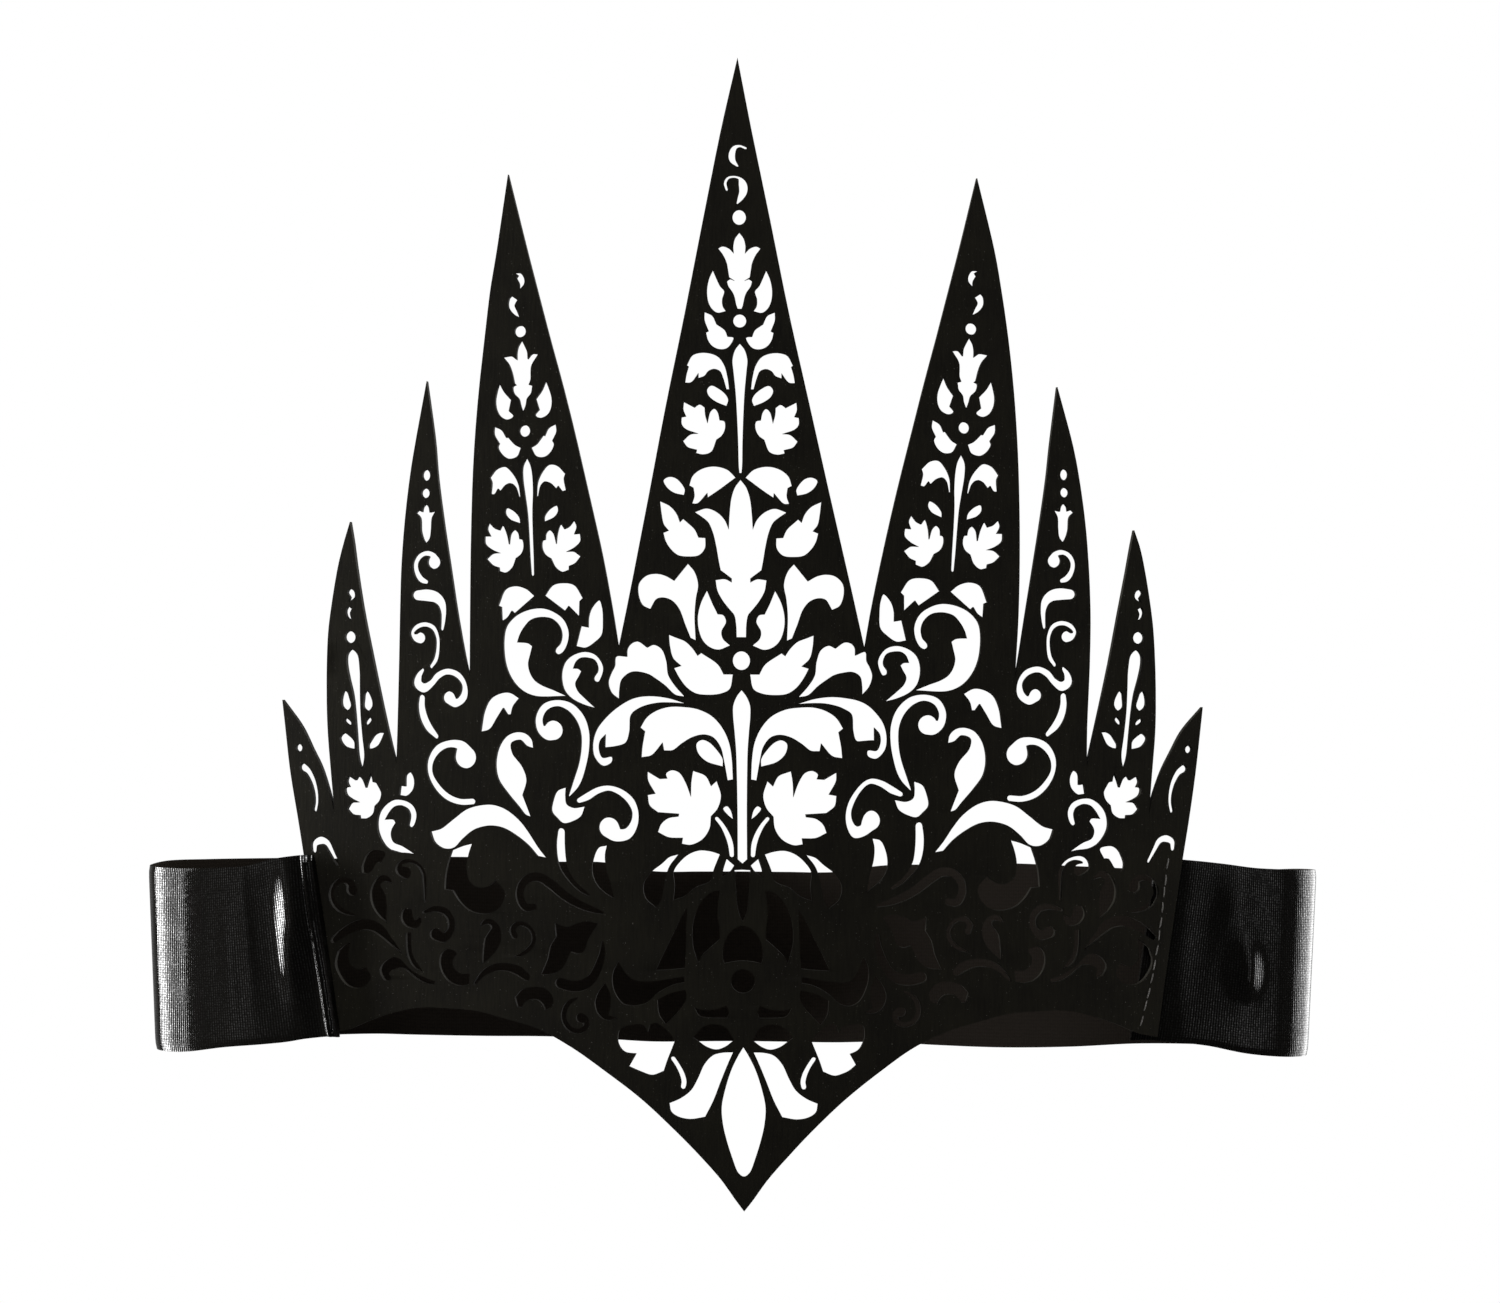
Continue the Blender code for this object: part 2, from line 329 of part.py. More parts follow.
    ],
    "third_ear": [
        (-48.5, 56.5, TIP), (-50.4, 57.6), (-52.6, 57.5), (-54.8, 56.3), (-56.2, 53.6), (-57.0, 49.2, TIP),
        (-55.0, 49.8), (-53.4, 52.2), (-52.0, 54.4, TIP), (-51.1, 53.0, TIP), (-50.3, 53.0, TIP),
        (-49.8, 54.8),
    ],
    "flame": [
        (-45.4, 45.7, TIP), (-45.7, 47.5), (-47.0, 48.8), (-49.0, 49.1), (-51.2, 48.3), (-52.9, 46.0),
        (-53.7, 42.4), (-53.2, 39.0), (-51.2, 36.0), (-48.6, 32.9), (-47.2, 31.2), (-46.0, 30.8, TIP),
        (-46.9, 33.2), (-47.8, 35.5, TIP), (-46.9, 38.8), (-47.8, 41.6), (-50.0, 44.6), (-50.2, 46.8),
        (-48.4, 47.5), (-46.9, 46.2),
    ],
    "cradle": [
        (-38.3, 37.2, TIP), (-40.2, 36.4), (-41.1, 34.4), (-41.4, 32.0), (-40.2, 30.5), (-39.0, 29.5),
        (-37.0, 29.9), (-35.0, 31.1), (-34.2, 33.1, TIP), (-36.6, 32.8), (-38.1, 33.6), (-38.4, 35.4),
    ],
    "great_brow": [
        (-68.3, 27.3, TIP), (-66.2, 27.9), (-63.4, 30.0), (-60.4, 32.2), (-57.4, 33.1), (-54.4, 33.3),
        (-51.6, 32.4), (-48.6, 30.1), (-46.6, 27.6), (-44.4, 24.2), (-42.6, 21.9, TIP), (-44.6, 22.3, TIP),
        (-46.6, 24.6), (-49.4, 26.8), (-52.4, 28.4), (-55.4, 28.8), (-58.4, 28.0), (-61.0, 26.0),
        (-63.0, 24.0), (-65.4, 23.7), (-67.4, 25.0),
    ],
    "fourth_stem": [
        (-85.9, 66.9), (-86.9, 65.9), (-87.1, 64.2), (-86.6, 61.0), (-85.7, 57.2), (-85.25, 53.5),
        (-84.9, 49.0), (-84.4, 43.0), (-83.7, 41.0), (-83.1, 43.4), (-83.5, 48.0), (-83.9, 53.0),
        (-84.0, 58.0), (-84.05, 62.5), (-84.6, 65.9),
    ],
    "fourth_maple": [
        (-86.7, 39.3, TIP), (-87.1, 38.0), (-86.6, 36.8, TIP), (-87.5, 36.6), (-87.3, 35.2), (-86.2, 34.3),
        (-84.5, 33.5, TIP), (-86.2, 33.3), (-87.1, 32.0, TIP), (-86.0, 30.9), (-84.4, 30.7, TIP),
        (-84.3, 30.0, TIP), (-82.6, 30.1), (-81.2, 31.1), (-80.8, 32.8, TIP), (-79.7, 34.0), (-79.3, 35.6),
        (-79.7, 36.6, TIP), (-80.4, 37.8, TIP), (-81.2, 38.0, TIP), (-81.6, 40.0, TIP), (-82.2, 38.6),
        (-82.8, 36.7, TIP), (-83.6, 38.6), (-84.4, 39.2), (-85.1, 38.3, TIP),
    ],
    "band_harp": [
        (-59.0, 24.8, TIP), (-61.3, 24.2), (-63.5, 23.3, TIP), (-64.4, 20.6), (-65.0, 17.8),
        (-65.2, 14.8, TIP), (-63.4, 14.6, TIP), (-62.0, 12.4), (-59.8, 10.4), (-57.0, 9.6), (-54.4, 10.0),
        (-52.4, 11.8), (-51.8, 14.4), (-53.8, 17.0, TIP), (-55.6, 15.6), (-57.8, 15.4), (-59.6, 16.8),
        (-60.2, 19.6), (-59.8, 22.4),
    ],
    "band_crescent": [
        (-89.4, 0.9, TIP), (-90.0, -1.8), (-89.1, -4.4), (-87.4, -6.4), (-85.2, -7.1), (-83.0, -6.4),
        (-81.8, -4.6), (-82.9, -2.3, TIP), (-84.8, -3.0), (-86.5, -1.8), (-86.9, 0.2), (-86.4, 3.1, TIP),
        (-88.0, 2.2),
    ],
    "band_great_leaf": [
        (-40.9, 7.9, TIP), (-40.6, 4.9, TIP), (-41.9, 2.7), (-42.6, -0.2), (-44.0, -3.4, TIP),
        (-41.4, -3.2), (-39.2, -1.9), (-37.4, 1.6, TIP), (-35.8, 1.2), (-34.5, 1.8), (-33.4, 4.6),
        (-31.4, 7.8, TIP), (-33.8, 8.3), (-36.0, 7.8), (-38.0, 7.0),
    ],
}

# Leaves that also stand in pairs about the second spike's own middle.
SPIKE_PAIRS = {
    "pair_leaf": [
        (-53.7, 115.4, TIP), (-53.7, 113.7), (-52.6, 111.8, TIP), (-52.9, 111.0), (-51.9, 109.3),
        (-50.4, 108.5), (-48.6, 109.0), (-47.8, 110.8, TIP), (-49.0, 111.4), (-50.7, 113.2, TIP),
        (-51.0, 113.0, TIP), (-52.0, 114.6),
    ],
    "pair_hood": [
        (-51.3, 106.7), (-53.2, 106.2), (-54.7, 104.4, TIP), (-54.3, 103.4), (-54.5, 100.9, TIP),
        (-53.7, 100.8), (-52.9, 102.0, TIP), (-52.4, 101.4, TIP), (-51.2, 102.8), (-50.1, 103.2),
        (-49.1, 102.4), (-48.3, 100.1, TIP), (-47.95, 100.3, TIP), (-48.4, 103.0), (-49.6, 105.2),
    ],
    "pair_maple": [
        (-54.9, 94.6, TIP), (-55.3, 93.2), (-54.6, 91.6, TIP), (-55.9, 91.6, TIP), (-55.8, 90.0),
        (-54.4, 88.8), (-52.5, 88.0, TIP), (-54.2, 87.8), (-55.5, 86.7, TIP), (-54.2, 85.4),
        (-52.8, 84.9, TIP), (-52.7, 84.1, TIP), (-51.2, 83.8), (-49.8, 84.9), (-49.0, 86.9, TIP),
        (-47.8, 87.9), (-47.3, 89.4), (-47.6, 90.9), (-48.2, 91.0, TIP), (-48.5, 92.4), (-49.3, 93.0),
        (-50.1, 92.2), (-50.5, 89.9, TIP), (-51.0, 92.2), (-51.9, 94.0), (-52.6, 92.9, TIP), (-53.6, 93.3),
    ],
}

# Scrolls, each the trace of a round pen and cut on both sides: across, up, half width.
SCROLLS = {
    "second_stem": [
        (-46.5, 108.5, 0.1), (-46.5, 106.6, 0.9), (-46.35, 104.3, 1.1), (-46.1, 101.0, 0.95),
        (-45.9, 97.0, 0.6), (-45.7, 92.0, 0.48), (-45.5, 87.0, 0.45), (-45.35, 83.4, 0.35),
    ],
    "swan_scroll": [
        (-37.6, 35.4, 0.15), (-36.0, 38.2, 0.8), (-34.6, 42.4, 0.85), (-34.0, 46.2, 0.9),
        (-34.1, 49.4, 0.95), (-35.2, 52.4, 1.0), (-37.4, 54.7, 0.9), (-40.2, 55.5, 0.65),
        (-42.8, 54.6, 0.8), (-44.1, 52.2, 0.85), (-43.7, 49.8, 0.95), (-42.3, 48.7, 1.2),
        (-41.0, 49.6, 2.1),
    ],
    "fern_scroll": [
        (-35.5, 34.4, 0.5), (-33.6, 35.3, 0.75), (-31.4, 36.6, 0.65), (-29.0, 37.15, 0.55),
        (-26.4, 36.3, 0.7), (-24.2, 34.4, 0.8), (-23.2, 32.0, 0.7), (-23.5, 29.4, 0.85),
        (-25.0, 27.3, 1.15), (-27.4, 27.1, 1.5), (-28.9, 28.6, 2.2),
    ],
    "third_elbow": [
        (-71.1, 78.8, 1.05), (-69.0, 78.8, 1.25), (-67.0, 78.4, 1.2), (-65.7, 77.2, 1.0),
        (-65.2, 75.2, 0.7), (-65.3, 73.0, 0.55), (-65.5, 71.5, 0.42),
    ],
    "third_snail": [
        (-69.9, 62.5, 0.4), (-70.8, 61.2, 0.75), (-71.0, 59.5, 1.05), (-69.7, 58.6, 1.0),
        (-68.0, 59.6, 0.75), (-66.5, 61.3, 0.75), (-64.4, 62.2, 0.62), (-62.0, 61.4, 0.7),
        (-60.6, 59.2, 0.65), (-60.9, 56.6, 0.9), (-62.7, 55.3, 0.85), (-64.0, 56.5, 1.4),
    ],
    "great_snail": [
        (-58.8, 34.0, 0.6), (-61.6, 33.9, 0.65), (-64.4, 34.9, 0.75), (-66.7, 37.0, 0.75),
        (-68.3, 40.0, 0.65), (-68.2, 42.8, 0.75), (-66.5, 45.4, 0.85), (-63.9, 46.5, 0.75),
        (-61.4, 46.0, 1.2), (-60.4, 43.6, 2.4),
    ],
    "band_bough": [
        (-90.4, 3.3, 0.6), (-88.6, 4.7, 0.9), (-86.2, 6.1, 1.05), (-83.6, 6.9, 1.15), (-81.2, 6.6, 1.2),
        (-79.3, 5.4, 1.1), (-78.0, 4.0, 0.78), (-76.4, 2.4, 0.5), (-74.9, 0.9, 0.12),
    ],
    "band_great_scroll": [
        (-45.4, 11.3, 0.7), (-47.2, 11.2, 0.9), (-48.4, 13.0, 0.9), (-48.3, 15.4, 0.9), (-46.7, 17.4, 0.9),
        (-44.2, 17.7, 1.0), (-41.6, 16.2, 1.05), (-38.8, 13.9, 1.0), (-35.8, 12.1, 0.9), (-32.8, 10.9, 0.7),
        (-30.4, 10.2, 0.35),
    ],
}


def spline(rows, step, closed):
    """A smooth curve through rows of any width, with a sample about every step."""
    rows = np.asarray(rows, float)
    if closed:
        rows = np.vstack([rows[-1], rows, rows[0], rows[1]])
    else:
        rows = np.vstack([2 * rows[0] - rows[1], rows, 2 * rows[-1] - rows[-2]])
    out = []
    for a, b, c, d in zip(rows, rows[1:], rows[2:], rows[3:]):
        spans = [math.sqrt(max(math.dist(p[:2], q[:2]), 1e-6)) for p, q in ((a, b), (b, c), (c, d))]
        t0, t1, t2, t3 = np.cumsum([0.0] + spans)
        count = max(1, math.ceil(math.dist(b[:2], c[:2]) / step))
        for t in np.linspace(t1, t2, count, endpoint=False):
            a1 = ((t1 - t) * a + (t - t0) * b) / (t1 - t0)
            a2 = ((t2 - t) * b + (t - t1) * c) / (t2 - t1)
            a3 = ((t3 - t) * c + (t - t2) * d) / (t3 - t2)
            b1 = ((t2 - t) * a1 + (t - t0) * a2) / (t2 - t0)
            b2 = ((t3 - t) * a2 + (t - t1) * a3) / (t3 - t1)
            out.append(((t2 - t) * b1 + (t - t1) * b2) / (t2 - t1))
    if not closed:
        out.append(rows[-2])
    return np.array(out)


def leaf(rows):
    """A closed edge that is smooth through its rows, with a corner at each TIP."""
    tips = [i for i, row in enumerate(rows) if len(row) > 2]
    points = [row[:2] for row in rows]
    count = len(points)
    runs = []
    for k, start in enumerate(tips):
        length = (tips[(k + 1) % len(tips)] - start - 1) % count + 2
        run = [points[(start + i) % count] for i in range(length)]
        runs.append(spline(run, EDGE_STEP, False)[:-1])
    return np.vstack(runs) if runs else spline(points, EDGE_STEP, True)


def scroll(rows):
    """The edge of what a round pen covers as it runs along the rows and swells."""
    trace = spline(rows, EDGE_STEP, False)
    centre = trace[:, :2]
    half = trace[:, 2]
    run = np.gradient(centre, axis=0)
    length = np.linalg.norm(run, axis=1)
    along = run / length[:, None]
    side = np.stack([-along[:, 1], along[:, 0]], 1)
    swell = np.clip(np.gradient(half) / length, -0.95, 0.95)[:, None]
    left = side * np.sqrt(1 - swell**2) - along * swell
    right = -side * np.sqrt(1 - swell**2) - along * swell

    def uncovered(points):
        gap = np.linalg.norm(points[:, None] - centre, axis=2) - half
        return points[gap.min(axis=1) > -0.02]

    def round_end(i, first, last):
        start = math.atan2(first[1], first[0])
        turn = (math.atan2(last[1], last[0]) - start) % math.tau
        count = max(2, math.ceil(turn * half[i] / EDGE_STEP))
        angle = start + turn * np.arange(1, count) / count
        return centre[i] + half[i] * np.stack([np.cos(angle), np.sin(angle)], 1)

    parts = [
        uncovered(centre + right * half[:, None]),
        uncovered(round_end(-1, right[-1], left[-1])),
        uncovered(centre + left * half[:, None])[::-1],
        uncovered(round_end(0, left[0], right[0])),
    ]
    return np.vstack(parts)


def disc(across, up, half_width):
    count = math.ceil(math.tau * half_width / EDGE_STEP)
    angle = math.tau * np.arange(count) / count
    return np.stack([across + half_width * np.cos(angle), up + half_width * np.sin(angle)], 1)


def whole(rows):
    """The rows of a left half, followed by its mirrored right half."""
    return rows + [(-row[0], *row[1:]) for row in reversed(rows) if row[0] != 0.0]


def eased(value, first, last):
    """A soft step from 0 at the first value to 1 at the last."""
    share = np.clip((value - first) / (last - first), 0.0, 1.0)
    return share * share * (3 - 2 * share)


def in_wing(edge):
    """A mirrored cut, moved to where the real right wing has it."""
    across, up = edge.T
    share = eased(across, *WING_EDGE)
    out = across - WING_MIDDLE
    rise = np.maximum(up - WING_LEVEL, 0.0)
    shift_across = WING_ACROSS[0] + WING_ACROSS[1] * out + WING_ACROSS[2] * rise
    shift_up = WING_UP[0] + WING_UP[1] * out + WING_UP[2] * rise
    foot = FOOT_RISE * eased(across, *FOOT_ACROSS) * eased(-up, *FOOT_BELOW)
    return edge + np.stack([share * shift_across, share * shift_up + foot], 1)


def mirrored(edge):
    return in_wing((edge * (-1.0, 1.0))[::-1])


def across_spike(edge):
    """The edge mirrored about the second spike's leaning middle."""
    across, up, lean = SPIKE_MIDDLE
    along = np.array([lean, 1.0]) / math.hypot(lean, 1.0)
    offset = edge - (across, up)
    return (2 * np.outer(offset @ along, along) - offset + (across, up))[::-1]


def thinned(edge):
    """The edge with only the points that it needs to stay within its tolerance."""
    edge = np.vstack([edge, edge[:1]])
    far = int(np.linalg.norm(edge - edge[0], axis=1).argmax())
    kept = {0, far}
    spans = [(0, far), (far, len(edge) - 1)]
    while spans:
        first, last = spans.pop()
        if last - first < 2:
            continue
        chord = edge[last] - edge[first]
        chord /= np.linalg.norm(chord)
        offset = edge[first + 1 : last] - edge[first]
        away = np.abs(offset[:, 0] * chord[1] - offset[:, 1] * chord[0])
        if away.max() > EDGE_TOLERANCE:
            middle = first + 1 + int(away.argmax())
            kept.add(middle)
            spans += [(first, middle), (middle, last)]
    return edge[sorted(kept)]


def panel_edges():
    """The sheet's outline, then every cut."""
    edges = [leaf(OUTLINE), disc(*CENTRE_DOT)]
    edges += [leaf(whole(rows)) for rows in CENTRE_LEAVES.values()]
    left = [leaf(rows) for rows in LEAVES.values()]
    left += [scroll(rows) for rows in SCROLLS.values()]
    for name, rows in SPIKE_PAIRS.items():
        left += [leaf(rows), across_spike(leaf(rows)) + PAIR_SHIFT.get(name, (0.0, 0.0))]
    edges += left + [mirrored(edge) for edge in left]
    return [thinned(edge) for edge in edges]


def bent(across, up, depth):
    """A place on the leaning sheet, depth behind its front face, on the bend about an upright line."""
    angle = (across + SHEET_LEAN * up) / PANEL_BEND_RADIUS
    radius = PANEL_BEND_RADIUS - depth
    back = PANEL_BEND_RADIUS - radius * math.cos(angle)
    return (radius * math.sin(angle) * MM, (back - HEAD_CENTRE) * MM, up * MM)


def finished(name, mesh, color, roughness):
    """Puts the closed mesh in the crown's collection with a material of its own."""
    material = bpy.data.materials.new(name)
    material.use_nodes = True
    shader = material.node_tree.nodes["Principled BSDF"]
    shader.inputs["Base Color"].default_value = color
    shader.inputs["Roughness"].default_value = roughness
    material.diffuse_color = color
    mesh.materials.clear()
    mesh.materials.append(material)
    obj = bpy.data.objects.new(name, mesh)
    bpy.data.collections["costume_crown"].objects.link(obj)
    return obj


def crown_panel():
    """The one flat sheet: its outline and cuts filled as a flat shape, thickened, then bent."""
    curve = bpy.data.curves.new("panel_edges", "CURVE")
    curve.dimensions = "2D"
    curve.fill_mode = "BOTH"
    curve.extrude = PANEL_THICKNESS / 2
    for edge in panel_edges():
        line = curve.splines.new("POLY")
        line.points.add(len(edge) - 1)
        for point, (across, up) in zip(line.points, edge):
            point.co = (across, up, 0.0, 1.0)
        line.use_cyclic_u = True
    flat = bpy.data.objects.new("panel_edges", curve)
    mesh = bpy.data.meshes.new_from_object(flat)
    bpy.data.objects.remove(flat)
    shape = bmesh.new()
    shape.from_mesh(mesh)
    bmesh.ops.remove_doubles(shape, verts=shape.verts, dist=0.0001)
    for i in range(-PANEL_BEND_LINES, PANEL_BEND_LINES + 1):
        whole_shape = shape.verts[:] + shape.edges[:] + shape.faces[:]
        line = (i * PANEL_BEND_STEP, 0.0, 0.0)
        bmesh.ops.bisect_plane(shape, geom=whole_shape, dist=0.001, plane_co=line, plane_no=(1.0, 0.0, 0.0))
    for vert in shape.verts:
        across, up, toward_front = vert.co
        vert.co = bent(across, up, PANEL_THICKNESS / 2 - toward_front)
    bmesh.ops.recalc_face_normals(shape, faces=shape.faces)
    shape.to_mesh(mesh)
    shape.free()
    return finished("crown_panel", mesh, (0.011, 0.010, 0.008, 1.0), 0.85)


def strap():
    """The band: a wall swept along its sections, open at its two ends."""
    sections = spline(STRAP_SECTIONS, STRAP_STEP, False)
    run = np.gradient(sections[:, :2], axis=0)
    run /= np.linalg.norm(run, axis=1)[:, None]
    shape = bmesh.new()
    rings = []
    for (across, back, middle, height, lean, thickness), (along_x, along_y) in zip(sections, run):
        ring = []
        for upward, outward in ((1, thickness), (-1, 0.0)):
            for i in range(STRAP_ROWS + 1):
                share = upward * (i / STRAP_ROWS - 0.5)
                out = outward + 2 * share * FOLD_FLARE * along_y**2
                x = across - 2 * lean * share * abs(along_x) - along_y * out
                y = back + 2 * lean * share * along_y + along_x * out
                place = (x * MM, (y - HEAD_CENTRE) * MM, (middle + height * share) * MM)
                ring.append(shape.verts.new(place))
        rings.append(ring)
    for ring, after in zip(rings, rings[1:]):
        for i, vert in enumerate(ring):
            j = (i + 1) % len(ring)
            shape.faces.new((vert, ring[j], after[j], after[i]))
    shape.faces.new(rings[0][::-1])
    shape.faces.new(rings[-1])
    bmesh.ops.recalc_face_normals(shape, faces=shape.faces)
    mesh = bpy.data.meshes.new("strap")
    shape.to_mesh(mesh)
    shape.free()
    return finished("strap", mesh, (0.013, 0.013, 0.014, 1.0), 0.25)


for old in list(bpy.data.objects):
    bpy.data.objects.remove(old, do_unlink=True)
crown = bpy.data.collections.new("costume_crown")
bpy.context.scene.collection.children.link(crown)
crown_panel()
strap()
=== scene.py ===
import math

import bmesh
import bpy
import mathutils
import numpy as np
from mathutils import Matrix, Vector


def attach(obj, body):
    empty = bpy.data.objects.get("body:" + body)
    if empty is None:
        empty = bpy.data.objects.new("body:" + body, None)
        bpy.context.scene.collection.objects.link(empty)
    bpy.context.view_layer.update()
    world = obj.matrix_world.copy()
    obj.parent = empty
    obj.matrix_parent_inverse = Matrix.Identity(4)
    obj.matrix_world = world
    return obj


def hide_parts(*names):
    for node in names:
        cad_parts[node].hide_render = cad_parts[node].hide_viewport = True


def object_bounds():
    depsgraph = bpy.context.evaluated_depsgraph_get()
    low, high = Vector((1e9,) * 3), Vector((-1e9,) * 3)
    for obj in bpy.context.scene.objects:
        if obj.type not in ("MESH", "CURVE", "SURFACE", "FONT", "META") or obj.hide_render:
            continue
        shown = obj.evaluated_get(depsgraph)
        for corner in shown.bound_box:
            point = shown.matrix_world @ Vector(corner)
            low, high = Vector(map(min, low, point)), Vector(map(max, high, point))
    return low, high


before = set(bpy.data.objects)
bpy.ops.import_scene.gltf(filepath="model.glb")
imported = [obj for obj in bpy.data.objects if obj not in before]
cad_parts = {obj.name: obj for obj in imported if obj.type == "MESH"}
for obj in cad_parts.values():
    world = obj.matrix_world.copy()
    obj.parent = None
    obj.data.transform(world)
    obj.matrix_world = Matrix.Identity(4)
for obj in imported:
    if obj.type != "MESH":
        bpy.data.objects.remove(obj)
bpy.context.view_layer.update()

# The cut sheet. The real one is a single flat sheet of felt-backed leatherette, 1.6 mm thick, cut through
# with nine spikes, a low point and damask foliage. It bends a little round the brow between the two
# sewn ends of the band, and its cut edges show the pale fibres of the backing, with glints painted on them
# as pale specks.

MM = 0.001  # lengths are in mm, as charted, up to where this turns them into metres
HEAD_CENTRE = 40.0  # mm from the sheet's front to the middle of the head opening
SHEET_THICKNESS = 1.6
BEND_RADIUS = 400.0
BEND_STEP = 8.0
SHEET_LEAN = -0.010  # across for each mm up
TRACE_STEP = 0.35  # mm between samples along a cut
TRACE_TOLERANCE = 0.012
STEEPEST_SWELL = 0.95  # of a pen's half width along its run
PEN_SLACK = 0.02  # mm that an edge may lie inside the pen and still count as its edge
EDGE_SOFTNESS = 0.14
SAME_PLACE = 0.0001  # mm between points that are merged
ON_LINE = 0.0005  # mm within which a point counts as on a bending line
SHEET_CREASE = math.radians(28)  # edges sharper than this stay sharp
TIP = 1  # ends a row that is a corner

# The right wing was cut a little apart from the left one's mirror image: where that begins and is full,
# and for its middle and its level the shift, its change for each mm across and for each mm further up.
WING_EDGE = (22.0, 30.0)
WING_MIDDLE = 60.0
WING_LEVEL = 40.0
WING_ACROSS = (-0.37, 0.026, 0.034)
WING_UP = (1.29, -0.0177, -0.0048)
# The wing's lower outer corner is cut a little higher still.
FOOT_RISE = 0.7
FOOT_ACROSS = (68.0, 80.0)
FOOT_BELOW = (-30.0, -24.0)

# Round cuts on the centre line, then those on both sides: across, up, half width, half height.
CENTRE_DOTS = [
    (0.0, 160.8, 1.45, 1.65), (0.0, 138.4, 1.4, 1.45), (0.0, 64.9, 1.85, 2.0), (0.0, -4.4, 2.6, 2.6),
]
SIDE_DOTS = [
    (-47.8, 136.1, 1.25, 1.25), (-46.9, 114.5, 1.2, 1.25), (-68.8, 104.9, 0.9, 1.2),
    (-69.0, 101.0, 0.95, 1.05), (-86.2, 69.6, 1.25, 1.3), (-98.1, 45.3, 0.8, 0.85),
]

# The sheet's edge, from the middle spike's tip by the left to the low point and back by the right.
OUTLINE = [
    (-0.2, 195.3, TIP), (-3.8, 180.0), (-7.9, 160.0), (-11.9, 140.0), (-16.1, 120.0), (-20.0, 100.0),
    (-24.0, 80.0), (-26.1, 70.0), (-26.6, 67.7, TIP), (-27.9, 76.0), (-30.0, 87.5), (-33.0, 101.0),
    (-36.2, 115.0), (-38.7, 125.0), (-41.4, 135.0), (-44.0, 145.0), (-46.3, 154.0), (-50.3, 170.2, TIP),
    (-52.8, 154.0), (-54.35, 145.0), (-55.6, 135.0), (-56.8, 125.0), (-57.75, 115.0), (-58.4, 105.0),
    (-58.9, 90.0), (-59.15, 75.0), (-59.3, 61.0, TIP), (-60.2, 65.0), (-62.0, 75.0), (-63.5, 85.0),
    (-65.0, 95.0), (-66.25, 105.0), (-66.8, 112.0), (-68.6, 125.4, TIP), (-71.2, 112.0), (-72.4, 105.0),
    (-73.65, 95.0), (-74.45, 85.0), (-74.8, 75.0), (-75.05, 65.0), (-75.5, 50.0), (-75.8, 42.0, TIP),
    (-76.6, 45.0), (-78.9, 55.0), (-81.0, 65.0), (-83.05, 75.0), (-84.65, 85.0), (-85.3, 90.0),
    (-86.1, 94.8, TIP), (-87.6, 90.0), (-88.9, 85.0), (-90.65, 75.0), (-91.25, 70.0), (-91.6, 60.0),
    (-91.45, 50.0), (-90.7, 40.0), (-89.9, 31.0, TIP), (-90.9, 35.0), (-92.95, 41.2), (-94.9, 45.0),
    (-97.45, 50.0), (-101.9, 55.8, TIP), (-101.25, 50.0), (-100.1, 40.0), (-98.4, 30.0), (-97.1, 22.0),
    (-95.2, 8.4), (-93.2, -4.3), (-91.4, -17.0, TIP), (-87.0, -16.1), (-82.0, -14.0), (-77.0, -12.3),
    (-71.0, -11.0), (-65.0, -11.0), (-58.0, -11.5), (-52.0, -13.0), (-44.5, -15.2), (-37.2, -19.1),
    (-30.0, -24.1), (-22.2, -30.0), (-15.0, -36.65), (-10.0, -41.7), (-5.0, -47.3), (-1.8, -51.8),
    (0.0, -54.2, TIP), (1.85, -51.9), (5.1, -47.4), (10.05, -41.8), (15.0, -36.6), (22.1, -29.9),
    (29.8, -23.8), (36.95, -18.8), (44.5, -15.2), (52.0, -13.0), (58.0, -11.5), (65.0, -11.0),
    (71.0, -11.0), (77.0, -12.3), (82.0, -14.0), (87.0, -16.1), (91.4, -17.0, TIP), (93.2, -4.3),
    (95.2, 8.4), (97.4, 22.0), (98.8, 30.0), (100.35, 40.0), (101.6, 50.0), (102.2, 55.2, TIP),
    (97.5, 50.0), (94.7, 45.1), (92.7, 41.3), (90.45, 35.2), (89.6, 31.0, TIP), (90.35, 40.0), (91.2, 50.0),
    (91.35, 60.0), (91.0, 70.0), (90.55, 75.0), (89.0, 85.0), (87.9, 90.0), (86.6, 93.8, TIP), (85.8, 90.0),
    (84.85, 85.0), (82.8, 75.0), (80.8, 65.0), (78.55, 55.0), (76.2, 45.0), (75.6, 42.2, TIP), (75.7, 50.0),
    (76.4, 65.0), (76.6, 75.0), (76.3, 85.0), (75.55, 95.0), (74.2, 105.0), (72.85, 112.0),
    (69.4, 124.8, TIP), (67.7, 112.0), (66.9, 105.0), (65.4, 95.0), (63.75, 85.0), (62.05, 75.0),
    (60.4, 65.0), (59.6, 61.0, TIP), (60.5, 75.0), (60.85, 90.0), (60.7, 105.0), (60.3, 115.0),
    (59.6, 125.0), (58.55, 135.0), (57.15, 145.0), (55.6, 154.0), (51.8, 169.9, TIP), (47.8, 154.0),
    (45.4, 145.0), (42.75, 135.0), (40.0, 125.0), (37.4, 115.0), (33.8, 101.0), (30.65, 87.5), (28.2, 76.0),
    (26.7, 67.7, TIP), (26.2, 70.0), (24.0, 80.0), (19.5, 100.0), (15.1, 120.0), (10.7, 140.0),
    (6.75, 160.0), (2.7, 180.0),
]

